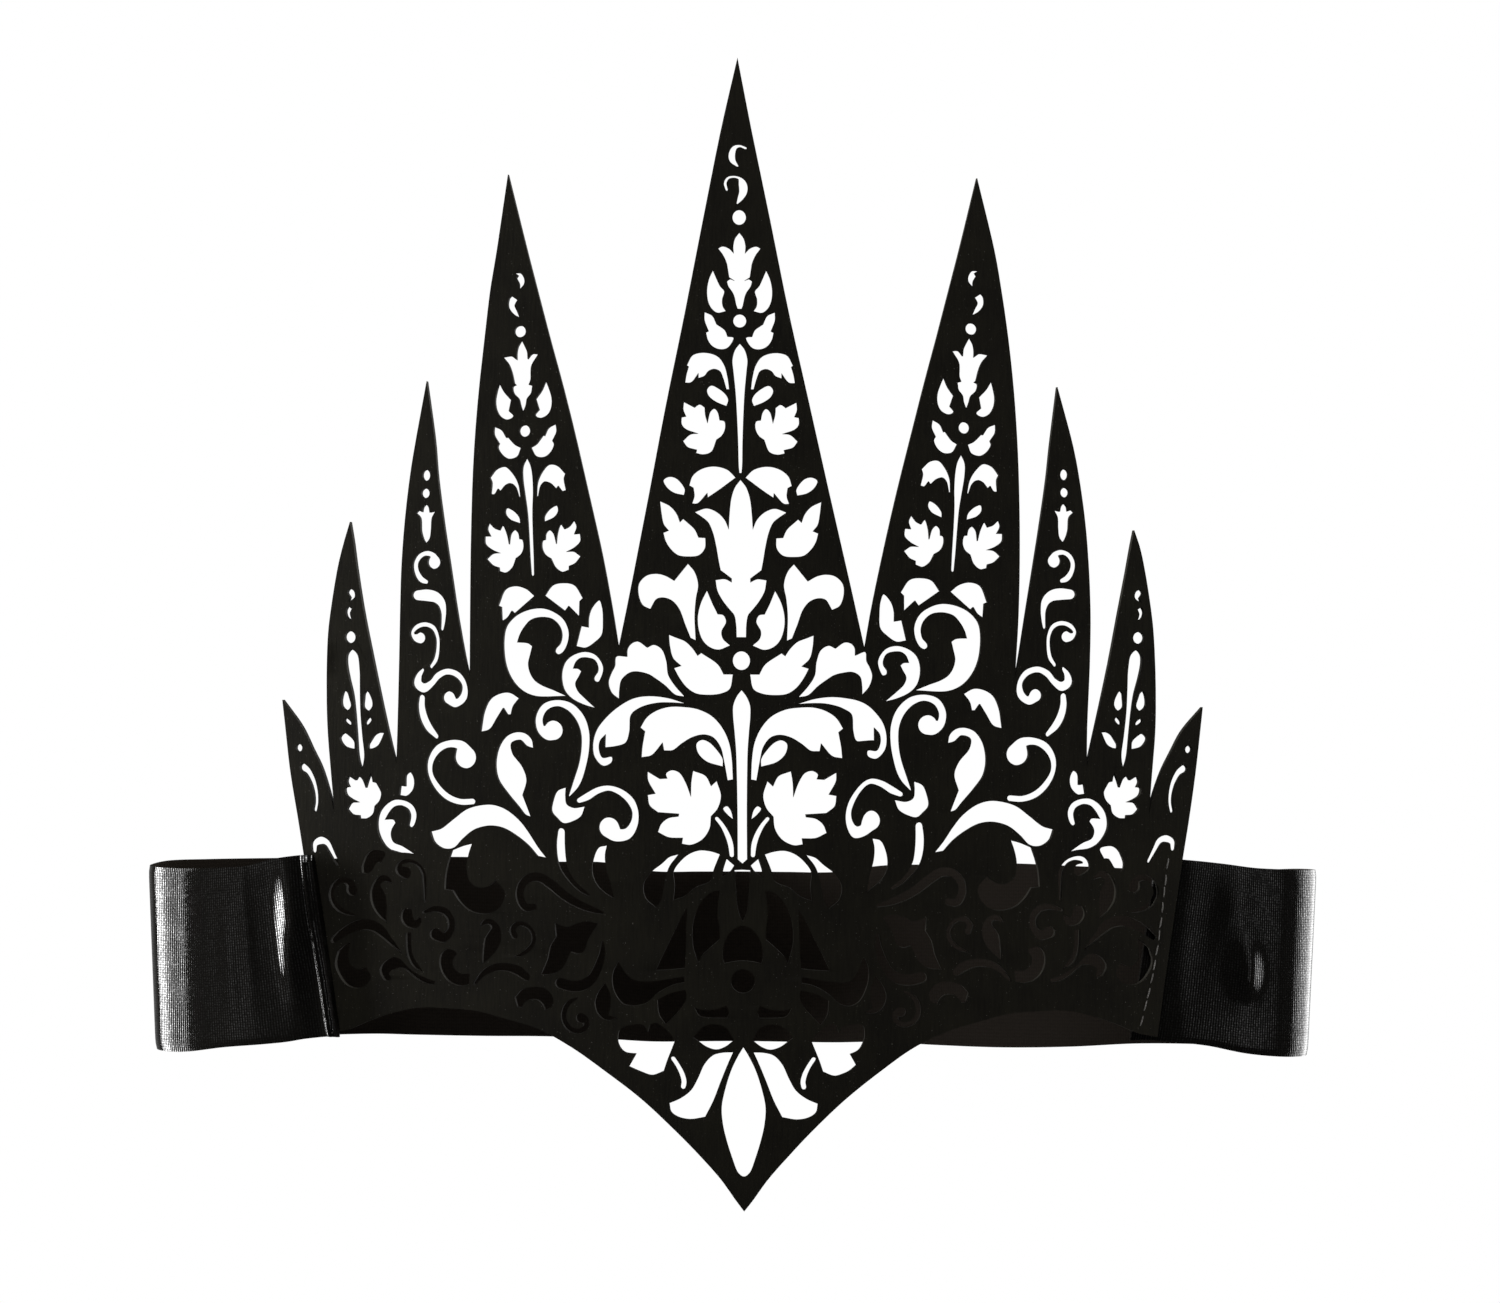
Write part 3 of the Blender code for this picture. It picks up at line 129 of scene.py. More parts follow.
# Cuts on the centre line, left half of each from top to foot.
CENTRE_LEAVES = {
    "bud_tulip": [
        (0.0, 157.5, TIP), (-0.9, 156.3), (-1.3, 154.6), (-1.2, 153.0, TIP), (-2.3, 154.1), (-3.7, 154.55),
        (-4.6, 154.1, TIP), (-3.5, 152.6), (-2.7, 150.8), (-2.4, 149.0), (-2.2, 147.8, TIP),
        (-1.1, 147.1, TIP), (-2.0, 147.45), (-2.7, 147.0, TIP), (-2.4, 145.9), (-1.4, 144.4), (-1.0, 143.3),
        (-0.7, 141.8), (-0.4, 141.0, TIP),
    ],
    "upper_stem": [
        (0.0, 133.5, TIP), (-1.0, 132.2), (-1.6, 130.0), (-1.4, 127.5), (-1.0, 123.5), (-0.7, 118.5),
        (-0.45, 112.0), (-0.35, 107.0), (-0.2, 105.5, TIP),
    ],
    "great_tulip": [
        (0.0, 104.0, TIP), (-1.2, 102.4), (-2.0, 100.0), (-2.4, 96.6), (-2.6, 93.2, TIP), (-3.5, 95.3),
        (-5.2, 97.0), (-7.4, 97.8), (-9.9, 97.0, TIP), (-8.4, 96.0), (-7.0, 94.8), (-6.0, 92.5),
        (-5.3, 89.5), (-4.8, 86.5), (-4.4, 84.5, TIP), (-2.0, 82.7, TIP), (-2.0, 81.8, TIP), (-3.5, 82.5),
        (-5.5, 82.3, TIP), (-5.1, 80.0), (-3.9, 77.8), (-2.4, 75.9), (-1.5, 74.8), (-1.1, 72.8),
        (-1.0, 70.0, TIP),
    ],
    "lower_stem": [
        (0.0, 58.5, TIP), (-1.0, 57.2), (-1.8, 55.2), (-1.85, 52.8), (-1.55, 49.5), (-1.25, 45.5),
        (-1.1, 40.0), (-1.0, 32.0), (-1.0, 21.9, TIP), (0.0, 21.0, TIP),
    ],
    "root": [
        (0.0, 19.7, TIP), (-1.7, 19.6, TIP), (-1.4, 15.0), (-1.0, 11.0), (-0.2, 8.6, TIP),
    ],
    "dome": [
        (0.0, 7.6), (-1.6, 7.1), (-3.2, 5.5), (-4.2, 3.0), (-4.3, 0.4), (-4.0, -0.6, TIP), (-2.2, -0.2),
        (0.0, 0.0),
    ],
    "spindle": [
        (0.0, -18.7, TIP), (-1.1, -20.5), (-2.6, -23.6), (-3.9, -27.6), (-4.75, -31.8), (-4.5, -35.5),
        (-3.7, -39.0), (-2.5, -42.8), (-1.2, -46.0), (0.0, -46.8),
    ],
}

# Curls near the middle spike's tip, not mirrored: across, up, half width of the pen.
CENTRE_SCROLLS = {
    "tip_curl": [
        (1.45, 175.8, 0.3), (0.2, 176.25, 0.3), (-0.9, 175.9, 0.5), (-1.5, 174.6, 0.68),
        (-1.4, 173.2, 0.62), (-0.3, 171.9, 0.2),
    ],
    "tip_hook": [
        (-2.65, 166.7, 0.22), (-3.0, 168.2, 0.28), (-2.4, 169.3, 0.3), (-1.1, 169.6, 0.27),
        (0.2, 169.2, 0.35), (0.8, 168.0, 0.85), (0.9, 166.4, 0.85), (0.3, 165.0, 0.6), (-0.4, 163.8, 0.15),
    ],
}

# Leaves, each cut on both sides of the centre line: across, up, and TIP at a corner.
LEAVES = {
    "great_scroll": [
        (-38.2, 57.1, TIP), (-45.2, 57.1), (-48.2, 58.5), (-50.5, 61.4), (-51.7, 65.5), (-51.4, 71.6),
        (-49.5, 74.1), (-46.6, 75.6), (-43.4, 76.0), (-40.9, 75.3), (-38.6, 73.6), (-37.5, 71.0),
        (-37.8, 68.4), (-38.9, 66.5), (-39.9, 66.1), (-40.5, 66.6), (-40.35, 67.3), (-39.4, 68.4),
        (-39.0, 70.4), (-39.6, 72.3), (-41.2, 73.8), (-43.4, 74.2), (-45.7, 73.6), (-47.1, 72.2),
        (-48.2, 70.4), (-48.8, 68.6, TIP), (-46.4, 68.4), (-45.5, 67.8, TIP), (-46.0, 65.9), (-46.4, 64.0),
        (-46.0, 62.0), (-45.0, 60.4), (-43.4, 59.3), (-40.9, 58.3),
    ],
    "small_scroll": [
        (-31.8, 54.5, TIP), (-34.5, 55.3), (-37.0, 56.6), (-38.5, 58.3), (-39.1, 60.75), (-38.9, 63.0),
        (-38.1, 64.7), (-36.4, 66.0), (-34.1, 66.6), (-31.9, 66.1), (-30.5, 64.6), (-30.0, 63.0),
        (-30.5, 61.1), (-31.1, 60.2), (-31.9, 60.4), (-32.0, 61.1), (-31.2, 62.4), (-31.2, 63.6),
        (-31.9, 64.9), (-33.2, 65.4), (-34.8, 65.4), (-35.9, 64.6), (-36.6, 63.0, TIP), (-35.4, 62.9),
        (-34.8, 62.4, TIP), (-35.3, 61.4), (-36.1, 59.8), (-35.6, 58.2), (-34.3, 56.8),
    ],
    "fourth_scroll": [
        (-71.7, 22.3, TIP), (-73.6, 22.6), (-76.3, 22.8), (-78.1, 23.7), (-79.4, 25.4), (-80.2, 27.6),
        (-80.2, 30.0), (-79.6, 31.7), (-78.4, 33.1), (-76.9, 34.0), (-75.3, 34.2), (-73.4, 33.8),
        (-72.1, 32.9), (-71.4, 31.4), (-71.5, 29.8), (-72.1, 28.5), (-72.7, 28.2), (-73.2, 28.5),
        (-73.0, 29.7), (-72.9, 30.9), (-73.4, 32.1), (-74.5, 32.8), (-75.5, 33.0), (-76.5, 32.6),
        (-77.5, 31.5), (-78.5, 29.8, TIP), (-76.5, 29.8), (-76.1, 29.2, TIP), (-77.0, 27.6), (-77.1, 26.2),
        (-76.5, 24.9), (-74.6, 24.1), (-72.9, 23.1),
    ],
    "fourth_blade_left": [
        (-87.6, 48.6), (-88.7, 47.6), (-87.7, 45.8), (-85.3, 45.1, TIP), (-85.4, 46.8), (-86.5, 48.0),
    ],
    "fourth_blade_right": [
        (-78.6, 48.7, TIP), (-79.8, 48.7), (-80.8, 48.2), (-81.6, 47.1), (-82.2, 46.1), (-82.2, 45.3, TIP),
        (-81.1, 45.4), (-79.9, 46.1), (-79.3, 47.1),
    ],
    "drop": [
        (-5.8, 149.3, TIP), (-6.6, 147.5), (-7.05, 145.0), (-6.8, 142.6), (-6.0, 141.0), (-4.8, 140.15),
        (-3.0, 140.5, TIP), (-3.7, 141.6), (-3.8, 143.0), (-3.35, 144.8), (-4.3, 146.0), (-5.1, 147.7),
    ],
    "notched_leaf": [
        (-7.6, 140.3, TIP), (-7.6, 138.6), (-6.7, 136.2, TIP), (-7.3, 135.9, TIP), (-6.9, 134.3),
        (-6.0, 133.0), (-4.6, 132.3), (-3.0, 132.4), (-2.0, 133.3), (-1.4, 134.8), (-2.7, 135.0, TIP),
        (-3.3, 136.4), (-5.1, 137.7, TIP), (-6.0, 139.5),
    ],
    "hood": [
        (-8.5, 131.5), (-10.3, 130.9), (-11.5, 128.8, TIP), (-11.1, 128.5, TIP), (-11.6, 126.8),
        (-11.9, 125.0, TIP), (-10.6, 125.1), (-9.0, 127.1, TIP), (-9.0, 126.0, TIP), (-7.7, 126.5),
        (-6.9, 127.5), (-5.6, 128.0), (-4.3, 127.5), (-3.6, 126.0), (-2.9, 123.6, TIP), (-2.4, 123.6, TIP),
        (-2.7, 126.0), (-3.4, 128.7), (-4.6, 130.5), (-6.2, 131.3),
    ],
    "bean": [
        (-6.3, 124.4), (-7.15, 123.5), (-6.7, 122.1), (-5.2, 120.9), (-3.0, 120.0, TIP), (-2.6, 121.2),
        (-3.1, 122.4), (-4.6, 123.7),
    ],
    "maple": [
        (-12.2, 120.8, TIP), (-12.3, 119.2), (-11.7, 117.7, TIP), (-12.7, 117.5, TIP), (-12.7, 116.1),
        (-11.8, 115.0), (-9.1, 114.0, TIP), (-10.8, 113.8), (-12.4, 112.4, TIP), (-11.4, 111.1),
        (-9.4, 110.5, TIP), (-9.6, 109.8, TIP), (-8.0, 109.5), (-6.3, 110.1), (-5.2, 112.7, TIP),
        (-4.0, 113.6), (-3.3, 115.2), (-3.5, 116.7), (-4.5, 116.9, TIP), (-4.9, 118.6), (-5.6, 119.4),
        (-6.4, 118.8), (-7.1, 116.2, TIP), (-7.6, 118.0), (-7.7, 119.6, TIP), (-8.8, 120.3),
        (-9.9, 119.6, TIP),
    ],
    "seed": [
        (-15.5, 104.6), (-16.7, 103.9), (-16.0, 102.4), (-14.4, 101.2), (-12.3, 100.7, TIP), (-12.1, 101.9),
        (-13.9, 104.2),
    ],
    "half_round": [
        (-5.8, 106.9), (-8.5, 106.3), (-10.4, 104.8), (-11.1, 102.8, TIP), (-10.2, 102.3, TIP),
        (-10.0, 100.5), (-10.5, 98.9, TIP), (-9.4, 98.9), (-7.2, 101.2, TIP), (-7.1, 100.2, TIP),
        (-4.6, 101.9), (-1.1, 104.5, TIP), (-2.9, 106.2),
    ],
    "serrated_leaf": [
        (-17.5, 99.3, TIP), (-17.2, 96.8), (-16.7, 94.4), (-15.6, 93.0, TIP), (-16.8, 92.5, TIP),
        (-16.3, 90.7), (-15.2, 89.0), (-13.6, 87.7), (-11.5, 87.4), (-9.1, 87.7), (-7.8, 89.2),
        (-7.7, 91.4, TIP), (-9.2, 91.5, TIP), (-10.0, 93.2), (-12.5, 95.5, TIP), (-13.2, 94.8, TIP),
        (-13.9, 96.6), (-15.3, 98.2),
    ],
    "trumpet": [
        (-11.5, 85.8, TIP), (-10.1, 84.1), (-9.3, 81.3), (-9.8, 78.3), (-10.1, 74.5), (-9.9, 69.3, TIP),
        (-11.0, 69.8, TIP), (-12.2, 72.8), (-13.4, 76.0), (-14.9, 77.8), (-16.7, 78.5), (-18.3, 78.2),
        (-19.7, 76.0, TIP), (-21.4, 76.9), (-22.3, 79.3), (-22.1, 81.6), (-20.5, 83.2), (-18.5, 83.6),
        (-16.5, 83.2), (-14.5, 82.1, TIP),
    ],
    "pear": [
        (-7.4, 80.0, TIP), (-8.7, 77.4), (-9.4, 74.4), (-9.2, 71.5), (-8.3, 69.2), (-6.8, 67.8),
        (-4.9, 67.3), (-2.5, 68.2, TIP), (-4.0, 69.6), (-4.3, 71.2), (-3.3, 73.3), (-3.9, 74.7),
        (-5.1, 74.9, TIP), (-6.1, 76.9),
    ],
    "great_leaf": [
        (-15.7, 70.4, TIP), (-15.5, 68.0), (-14.8, 65.4), (-13.0, 63.7, TIP), (-14.6, 63.2, TIP),
        (-13.4, 61.0), (-11.8, 59.0), (-9.9, 57.8), (-7.4, 57.5), (-4.5, 57.8), (-2.6, 58.8),
        (-1.9, 61.9, TIP), (-3.9, 61.9, TIP), (-5.1, 64.0), (-8.7, 66.5, TIP), (-9.5, 65.9, TIP),
        (-10.6, 67.5), (-12.2, 69.0), (-14.2, 69.8),
    ],
    "three_lobe_wing": [
        (-26.6, 56.5, TIP), (-28.2, 57.8), (-28.9, 60.0), (-28.3, 62.0), (-27.5, 63.6), (-27.2, 65.6),
        (-24.8, 65.6, TIP), (-24.7, 67.3), (-23.8, 68.5), (-22.4, 68.9), (-20.4, 67.6, TIP), (-19.0, 68.2),
        (-17.3, 67.3), (-16.3, 64.8), (-15.9, 61.8), (-14.6, 59.6), (-12.4, 57.1, TIP), (-14.4, 57.5),
        (-16.6, 59.5), (-18.4, 60.8), (-20.4, 62.0), (-23.8, 62.4), (-26.0, 60.7), (-26.5, 58.6),
    ],
    "crested_wing": [
        (-12.3, 55.6, TIP), (-16.0, 56.7), (-20.0, 57.1), (-23.4, 56.6), (-26.6, 54.9), (-29.6, 52.3),
        (-31.6, 49.6), (-32.4, 46.4), (-32.0, 43.8), (-30.2, 42.0), (-28.3, 42.8), (-28.2, 43.9),
        (-30.2, 43.7), (-31.0, 45.4), (-30.8, 47.4), (-29.6, 48.8, TIP), (-29.7, 46.0, TIP), (-27.4, 46.3),
        (-25.2, 47.1), (-24.4, 49.4), (-24.0, 53.1), (-22.0, 54.7), (-18.5, 55.7), (-15.0, 55.8),
    ],
    "acanthus": [
        (-22.0, 50.3, TIP), (-20.6, 52.5), (-18.4, 54.0), (-15.6, 54.8), (-12.6, 54.8), (-9.4, 54.3),
        (-6.4, 52.8), (-4.2, 50.3), (-2.8, 47.2), (-2.2, 43.6), (-2.0, 39.2, TIP), (-3.1, 39.0, TIP),
        (-3.9, 43.4), (-4.6, 46.2), (-6.2, 48.3), (-8.2, 48.9), (-10.6, 48.4), (-13.0, 47.0), (-15.0, 45.5),
        (-16.9, 45.4, TIP), (-17.2, 47.1, TIP), (-19.6, 44.4), (-21.8, 43.9, TIP), (-21.6, 46.2),
        (-21.0, 49.5, TIP),
    ],
    "inner_seed": [
        (-8.6, 47.7), (-9.8, 46.9), (-9.5, 44.9), (-7.7, 43.1), (-4.2, 42.0, TIP), (-4.2, 43.6),
        (-5.4, 45.5), (-7.1, 47.2),
    ],
    "great_maple": [
        (-20.5, 40.8, TIP), (-20.4, 38.9), (-18.8, 36.0, TIP), (-20.5, 35.7, TIP), (-20.1, 33.5),
        (-18.3, 32.0, TIP), (-13.7, 31.7, TIP), (-13.8, 31.1, TIP), (-16.0, 30.7), (-17.6, 29.4),
        (-18.3, 27.7, TIP), (-16.0, 26.6), (-12.9, 26.5, TIP), (-13.1, 25.2, TIP), (-11.2, 25.0),
        (-8.7, 26.2), (-7.1, 28.6), (-6.8, 31.2, TIP), (-5.3, 33.0), (-4.6, 35.7), (-5.5, 38.8, TIP),
        (-6.7, 37.7, TIP), (-7.9, 39.9), (-10.6, 41.0, TIP), (-11.0, 38.5), (-11.1, 35.4, TIP),
        (-12.2, 38.4), (-13.6, 40.6), (-15.2, 41.1), (-16.5, 40.3), (-16.2, 39.3, TIP), (-17.8, 39.2, TIP),
    ],
    "small_drop": [
        (-4.1, 32.9), (-3.3, 33.4), (-2.5, 32.5), (-2.0, 30.6, TIP), (-3.1, 31.5),
    ],
    "foot_dome": [
        (-4.9, 23.0, TIP), (-6.8, 23.6), (-9.2, 23.8), (-11.5, 23.0), (-13.6, 21.2), (-14.9, 19.2),
        (-14.7, 16.0), (-15.0, 13.0, TIP), (-12.6, 13.9), (-10.2, 15.8), (-7.0, 17.2), (-6.2, 19.8),
    ],
    "foot_petal": [
        (-13.9, 22.9, TIP), (-15.8, 22.3), (-17.4, 20.9), (-20.0, 18.8), (-21.5, 16.2), (-21.0, 13.4),
        (-18.7, 11.3, TIP), (-17.6, 13.2), (-16.9, 16.8), (-15.9, 20.2),
    ],
    "foot_chip": [
        (-3.4, 22.0, TIP), (-1.8, 20.6, TIP), (-2.6, 19.4), (-4.4, 18.0, TIP), (-4.1, 19.8),
    ],
    "band_lobe": [
        (-4.9, 15.2, TIP), (-6.8, 14.8), (-8.8, 12.9), (-10.2, 10.2), (-10.9, 6.8), (-10.8, 3.2),
        (-9.7, -0.6, TIP), (-8.9, 1.0), (-7.2, 2.7), (-5.0, 4.6, TIP), (-5.0, 7.0), (-5.4, 9.4),
        (-5.3, 12.4),
    ],
    "band_shard": [
        (-12.0, 11.4, TIP), (-13.6, 8.8), (-15.4, 5.0), (-17.4, 1.0), (-18.9, -2.2, TIP), (-15.8, -2.0),
        (-12.6, -1.7, TIP), (-12.3, 2.5), (-12.2, 7.0),
    ],
    "band_bowl": [
        (-27.0, -0.3, TIP), (-28.1, -2.4), (-28.4, -5.0), (-27.6, -7.6), (-26.0, -9.5), (-23.6, -9.9),
        (-21.0, -9.3), (-18.6, -7.2), (-15.4, -5.4), (-12.7, -4.8, TIP), (-12.7, -3.4, TIP), (-16.5, -4.1),
        (-20.5, -4.6), (-23.8, -4.2), (-25.6, -2.6),
    ],
    "band_fang": [
        (-18.6, -8.6, TIP), (-16.0, -7.2), (-12.4, -6.3, TIP), (-12.3, -8.2), (-13.4, -10.3),
        (-15.3, -12.4), (-16.8, -13.9, TIP), (-18.2, -11.8),
    ],
    "half_moon": [
        (-2.0, -17.2, TIP), (-3.8, -18.6), (-5.8, -19.3), (-8.0, -18.7), (-10.8, -16.6, TIP), (-8.6, -14.3),
        (-6.0, -13.7), (-3.6, -14.6),
    ],
    "moon_cap": [
        (-3.6, -9.6, TIP), (-3.1, -11.2), (-3.5, -12.4, TIP), (-6.4, -12.4), (-9.4, -12.0),
        (-10.6, -10.2, TIP), (-8.4, -10.7), (-5.8, -10.5),
    ],
    "v_petal": [
        (-2.2, -19.8, TIP), (-3.4, -22.4), (-5.0, -26.3), (-6.6, -30.4), (-8.4, -33.9, TIP), (-11.6, -34.4),
        (-14.2, -33.9), (-15.7, -32.8), (-16.1, -30.9, TIP), (-13.6, -29.8), (-11.3, -28.0), (-9.8, -25.4),
        (-8.4, -22.4), (-6.6, -20.5), (-4.6, -19.9),
    ],
    "v_boot": [
        (-27.2, -17.6), (-26.6, -19.1), (-25.6, -20.0), (-23.2, -20.3, TIP), (-24.8, -23.1, TIP),
        (-22.2, -24.2), (-19.8, -24.9), (-17.3, -24.0, TIP), (-16.5, -21.6), (-14.9, -17.6, TIP),
        (-15.4, -16.4), (-16.4, -15.2), (-17.6, -14.2), (-18.9, -13.5), (-20.2, -13.9, TIP),
        (-20.7, -15.5, TIP), (-21.7, -14.0), (-24.2, -14.0), (-26.8, -15.2),
    ],
    "second_comma": [
        (-48.9, 148.8, TIP), (-47.7, 148.7), (-46.9, 147.6), (-46.9, 146.4), (-48.0, 145.1, TIP),
        (-48.0, 146.5), (-48.6, 147.7, TIP), (-48.2, 148.3, TIP),
    ],
    "second_crook": [
        (-49.7, 143.8, TIP), (-48.4, 142.9, TIP), (-49.0, 141.7), (-48.5, 140.5), (-48.0, 139.2, TIP),
        (-49.4, 140.0), (-50.4, 141.5), (-50.2, 143.3),
    ],
    "second_tulip": [
        (-47.5, 134.2, TIP), (-48.3, 132.8), (-48.6, 131.4), (-48.6, 129.9, TIP), (-49.8, 130.7),
        (-51.6, 130.5, TIP), (-50.4, 129.0), (-49.7, 127.2), (-49.2, 124.9, TIP), (-48.8, 124.5, TIP),
        (-49.5, 124.1), (-49.3, 122.7), (-48.2, 121.5), (-47.8, 120.0), (-47.3, 118.8), (-46.7, 120.0),
        (-46.4, 121.5), (-45.5, 122.7), (-45.2, 124.3, TIP), (-46.0, 124.5, TIP), (-45.6, 125.6),
        (-45.4, 128.6), (-43.9, 131.1, TIP), (-45.2, 131.2), (-46.2, 130.1, TIP), (-46.3, 131.6),
        (-46.8, 132.8),
    ],
    "second_half_left": [
        (-49.3, 80.8), (-51.4, 80.1), (-53.0, 76.6, TIP), (-52.3, 76.3, TIP), (-52.2, 73.2, TIP),
        (-50.9, 74.1), (-50.0, 75.5, TIP), (-49.4, 74.9, TIP), (-45.0, 78.7, TIP), (-46.8, 80.2),
    ],
    "second_half_right": [
        (-38.8, 81.5), (-41.0, 81.0), (-42.7, 78.8, TIP), (-38.3, 75.5, TIP), (-37.5, 76.6, TIP),
        (-35.2, 74.3, TIP), (-35.1, 77.6, TIP), (-34.4, 78.3, TIP), (-36.2, 81.0),
    ],
    "second_leaf": [
        (-30.8, 77.8), (-32.4, 76.2), (-33.1, 74.2), (-33.2, 71.9, TIP), (-34.8, 72.2, TIP),
        (-35.9, 67.9, TIP), (-33.8, 67.6), (-31.8, 68.8), (-30.3, 70.4), (-30.0, 73.4), (-30.2, 76.4),
    ],
    "third_tulip": [
        (-68.9, 98.7, TIP), (-69.6, 97.9), (-69.8, 96.9, TIP), (-70.6, 97.2), (-71.2, 96.7, TIP),
        (-70.3, 95.7), (-70.1, 92.8), (-69.6, 91.0), (-69.0, 90.0, TIP), (-68.1, 91.2), (-67.8, 93.2),
        (-67.6, 95.6), (-66.8, 97.1, TIP), (-68.1, 96.8, TIP), (-68.3, 97.9),
    ],
    "third_ear": [
        (-48.5, 56.5, TIP), (-50.4, 57.6), (-52.6, 57.5), (-54.8, 56.3), (-56.2, 53.6), (-57.0, 49.2, TIP),
        (-55.0, 49.8), (-53.4, 52.2), (-52.0, 54.4, TIP), (-51.1, 53.0, TIP), (-50.3, 53.0, TIP),
        (-49.8, 54.8),
    ],
    "flame": [
        (-45.4, 45.7, TIP), (-45.7, 47.5), (-47.0, 48.8), (-49.0, 49.1), (-51.2, 48.3), (-52.9, 46.0),
        (-53.7, 42.4), (-53.2, 39.0), (-51.2, 36.0), (-48.6, 32.9), (-47.2, 31.2), (-46.0, 30.8, TIP),
        (-46.9, 33.2), (-47.8, 35.5, TIP), (-46.9, 38.8), (-47.8, 41.6), (-50.0, 44.6), (-50.2, 46.8),
        (-48.4, 47.5), (-46.9, 46.2),
    ],
    "cradle": [
        (-38.3, 37.2, TIP), (-40.2, 36.4), (-41.1, 34.4), (-41.4, 32.0), (-40.2, 30.5), (-39.0, 29.5),
        (-37.0, 29.9), (-35.0, 31.1), (-34.2, 33.1, TIP), (-36.6, 32.8), (-38.1, 33.6), (-38.4, 35.4),
    ],
    "great_brow": [
        (-68.3, 27.3, TIP), (-66.2, 27.9), (-63.4, 30.0), (-60.4, 32.2), (-57.4, 33.1), (-54.4, 33.3),
        (-51.6, 32.4), (-48.6, 30.1), (-46.6, 27.6), (-44.4, 24.2), (-42.6, 21.9, TIP), (-44.6, 22.3, TIP),
        (-46.6, 24.6), (-49.4, 26.8), (-52.4, 28.4), (-55.4, 28.8), (-58.4, 28.0), (-61.0, 26.0),
        (-63.0, 24.0), (-65.4, 23.7), (-67.4, 25.0),
    ],
    "fourth_comma": [
        (-86.3, 80.1), (-85.3, 79.7), (-85.1, 78.4), (-86.6, 77.2, TIP), (-86.2, 78.3, TIP), (-86.8, 79.4),
    ],
    "fourth_crook": [
        (-86.7, 76.4, TIP), (-85.8, 75.8, TIP), (-86.2, 74.8), (-85.8, 73.2, TIP), (-86.9, 74.0),
        (-87.2, 75.3),
    ],
    "fourth_stem": [
        (-85.9, 66.9), (-86.9, 65.9), (-87.1, 64.2), (-86.6, 61.0), (-85.7, 57.2), (-85.25, 53.5),
        (-84.9, 49.0), (-84.4, 43.0), (-83.7, 41.0), (-83.1, 43.4), (-83.5, 48.0), (-83.9, 53.0),
        (-84.0, 58.0), (-84.05, 62.5), (-84.6, 65.9),
    ],
    "fourth_maple": [
        (-86.7, 39.3, TIP), (-87.1, 38.0), (-86.6, 36.8, TIP), (-87.5, 36.6), (-87.3, 35.2), (-86.2, 34.3),
        (-84.5, 33.5, TIP), (-86.2, 33.3), (-87.1, 32.0, TIP), (-86.0, 30.9), (-84.4, 30.7, TIP),
        (-84.3, 30.0, TIP), (-82.6, 30.1), (-81.2, 31.1), (-80.8, 32.8, TIP), (-79.7, 34.0), (-79.3, 35.6),
        (-79.7, 36.6, TIP), (-80.4, 37.8, TIP), (-81.2, 38.0, TIP), (-81.6, 40.0, TIP), (-82.2, 38.6),
        (-82.8, 36.7, TIP), (-83.6, 38.6), (-84.4, 39.2), (-85.1, 38.3, TIP),
    ],
    "fourth_ear": [
        (-72.7, 40.2), (-73.7, 39.6), (-73.9, 37.1, TIP), (-75.0, 37.3, TIP), (-75.3, 35.2, TIP),
        (-73.6, 35.1), (-72.1, 36.6), (-71.9, 38.8),
    ],
    "band_stem": [
        (-73.95, 5.3, TIP), (-72.65, 5.4, TIP), (-72.6, 2.2), (-72.2, 0.2), (-71.3, -1.3),
        (-70.0, -3.1, TIP), (-71.8, -2.5), (-72.9, -1.3), (-73.6, 0.4), (-73.9, 2.6),
    ],
    "band_crozier": [
        (-79.3, -4.6), (-79.8, -3.0), (-79.2, -1.6), (-77.8, -0.5), (-76.2, -0.1), (-74.9, -0.7),
        (-73.8, -1.8), (-72.5, -2.9), (-70.8, -3.9), (-69.1, -4.6), (-67.3, -5.2, TIP), (-67.6, -6.0, TIP),
        (-69.6, -5.7), (-71.5, -4.8), (-73.1, -3.6), (-74.3, -2.7), (-75.6, -2.5), (-77.1, -3.0),
        (-77.7, -3.8), (-77.2, -4.6), (-77.7, -5.3), (-78.6, -5.3),
    ],
    "band_flame": [
        (-78.1, 7.2, TIP), (-80.2, 9.0), (-81.6, 11.3), (-81.9, 14.0), (-81.1, 16.2), (-79.9, 17.5),
        (-78.4, 17.7), (-77.2, 16.9), (-76.8, 15.8, TIP), (-77.9, 16.2), (-79.0, 16.3), (-79.5, 15.5),
        (-78.9, 14.4), (-78.3, 13.0), (-78.1, 10.6), (-78.2, 8.6),
    ],
    "band_small_boot": [
        (-83.7, 18.1, TIP), (-83.8, 19.4), (-83.4, 20.8), (-82.6, 22.3), (-81.4, 23.1), (-79.5, 23.1),
        (-78.4, 22.6), (-79.4, 20.3, TIP), (-80.2, 20.5), (-80.8, 19.8), (-81.6, 18.5), (-82.7, 18.0),
    ],
    "band_harp": [
        (-59.0, 24.8, TIP), (-61.3, 24.2), (-63.5, 23.3, TIP), (-64.4, 20.6), (-65.0, 17.8),
        (-65.2, 14.8, TIP), (-63.4, 14.6, TIP), (-62.0, 12.4), (-59.8, 10.4), (-57.0, 9.6), (-54.4, 10.0),
        (-52.4, 11.8), (-51.8, 14.4), (-53.8, 17.0, TIP), (-55.6, 15.6), (-57.8, 15.4), (-59.6, 16.8),
        (-60.2, 19.6), (-59.8, 22.4),
    ],
    "band_heart": [
        (-74.4, 10.4), (-75.0, 8.4), (-74.2, 6.9), (-72.6, 6.2), (-71.0, 6.6), (-70.3, 7.9),
        (-70.5, 8.8, TIP), (-71.8, 8.1), (-72.6, 10.4, TIP),
    ],
    "band_crescent": [
        (-89.4, 0.9, TIP), (-90.0, -1.8), (-89.1, -4.4), (-87.4, -6.4), (-85.2, -7.1), (-83.0, -6.4),
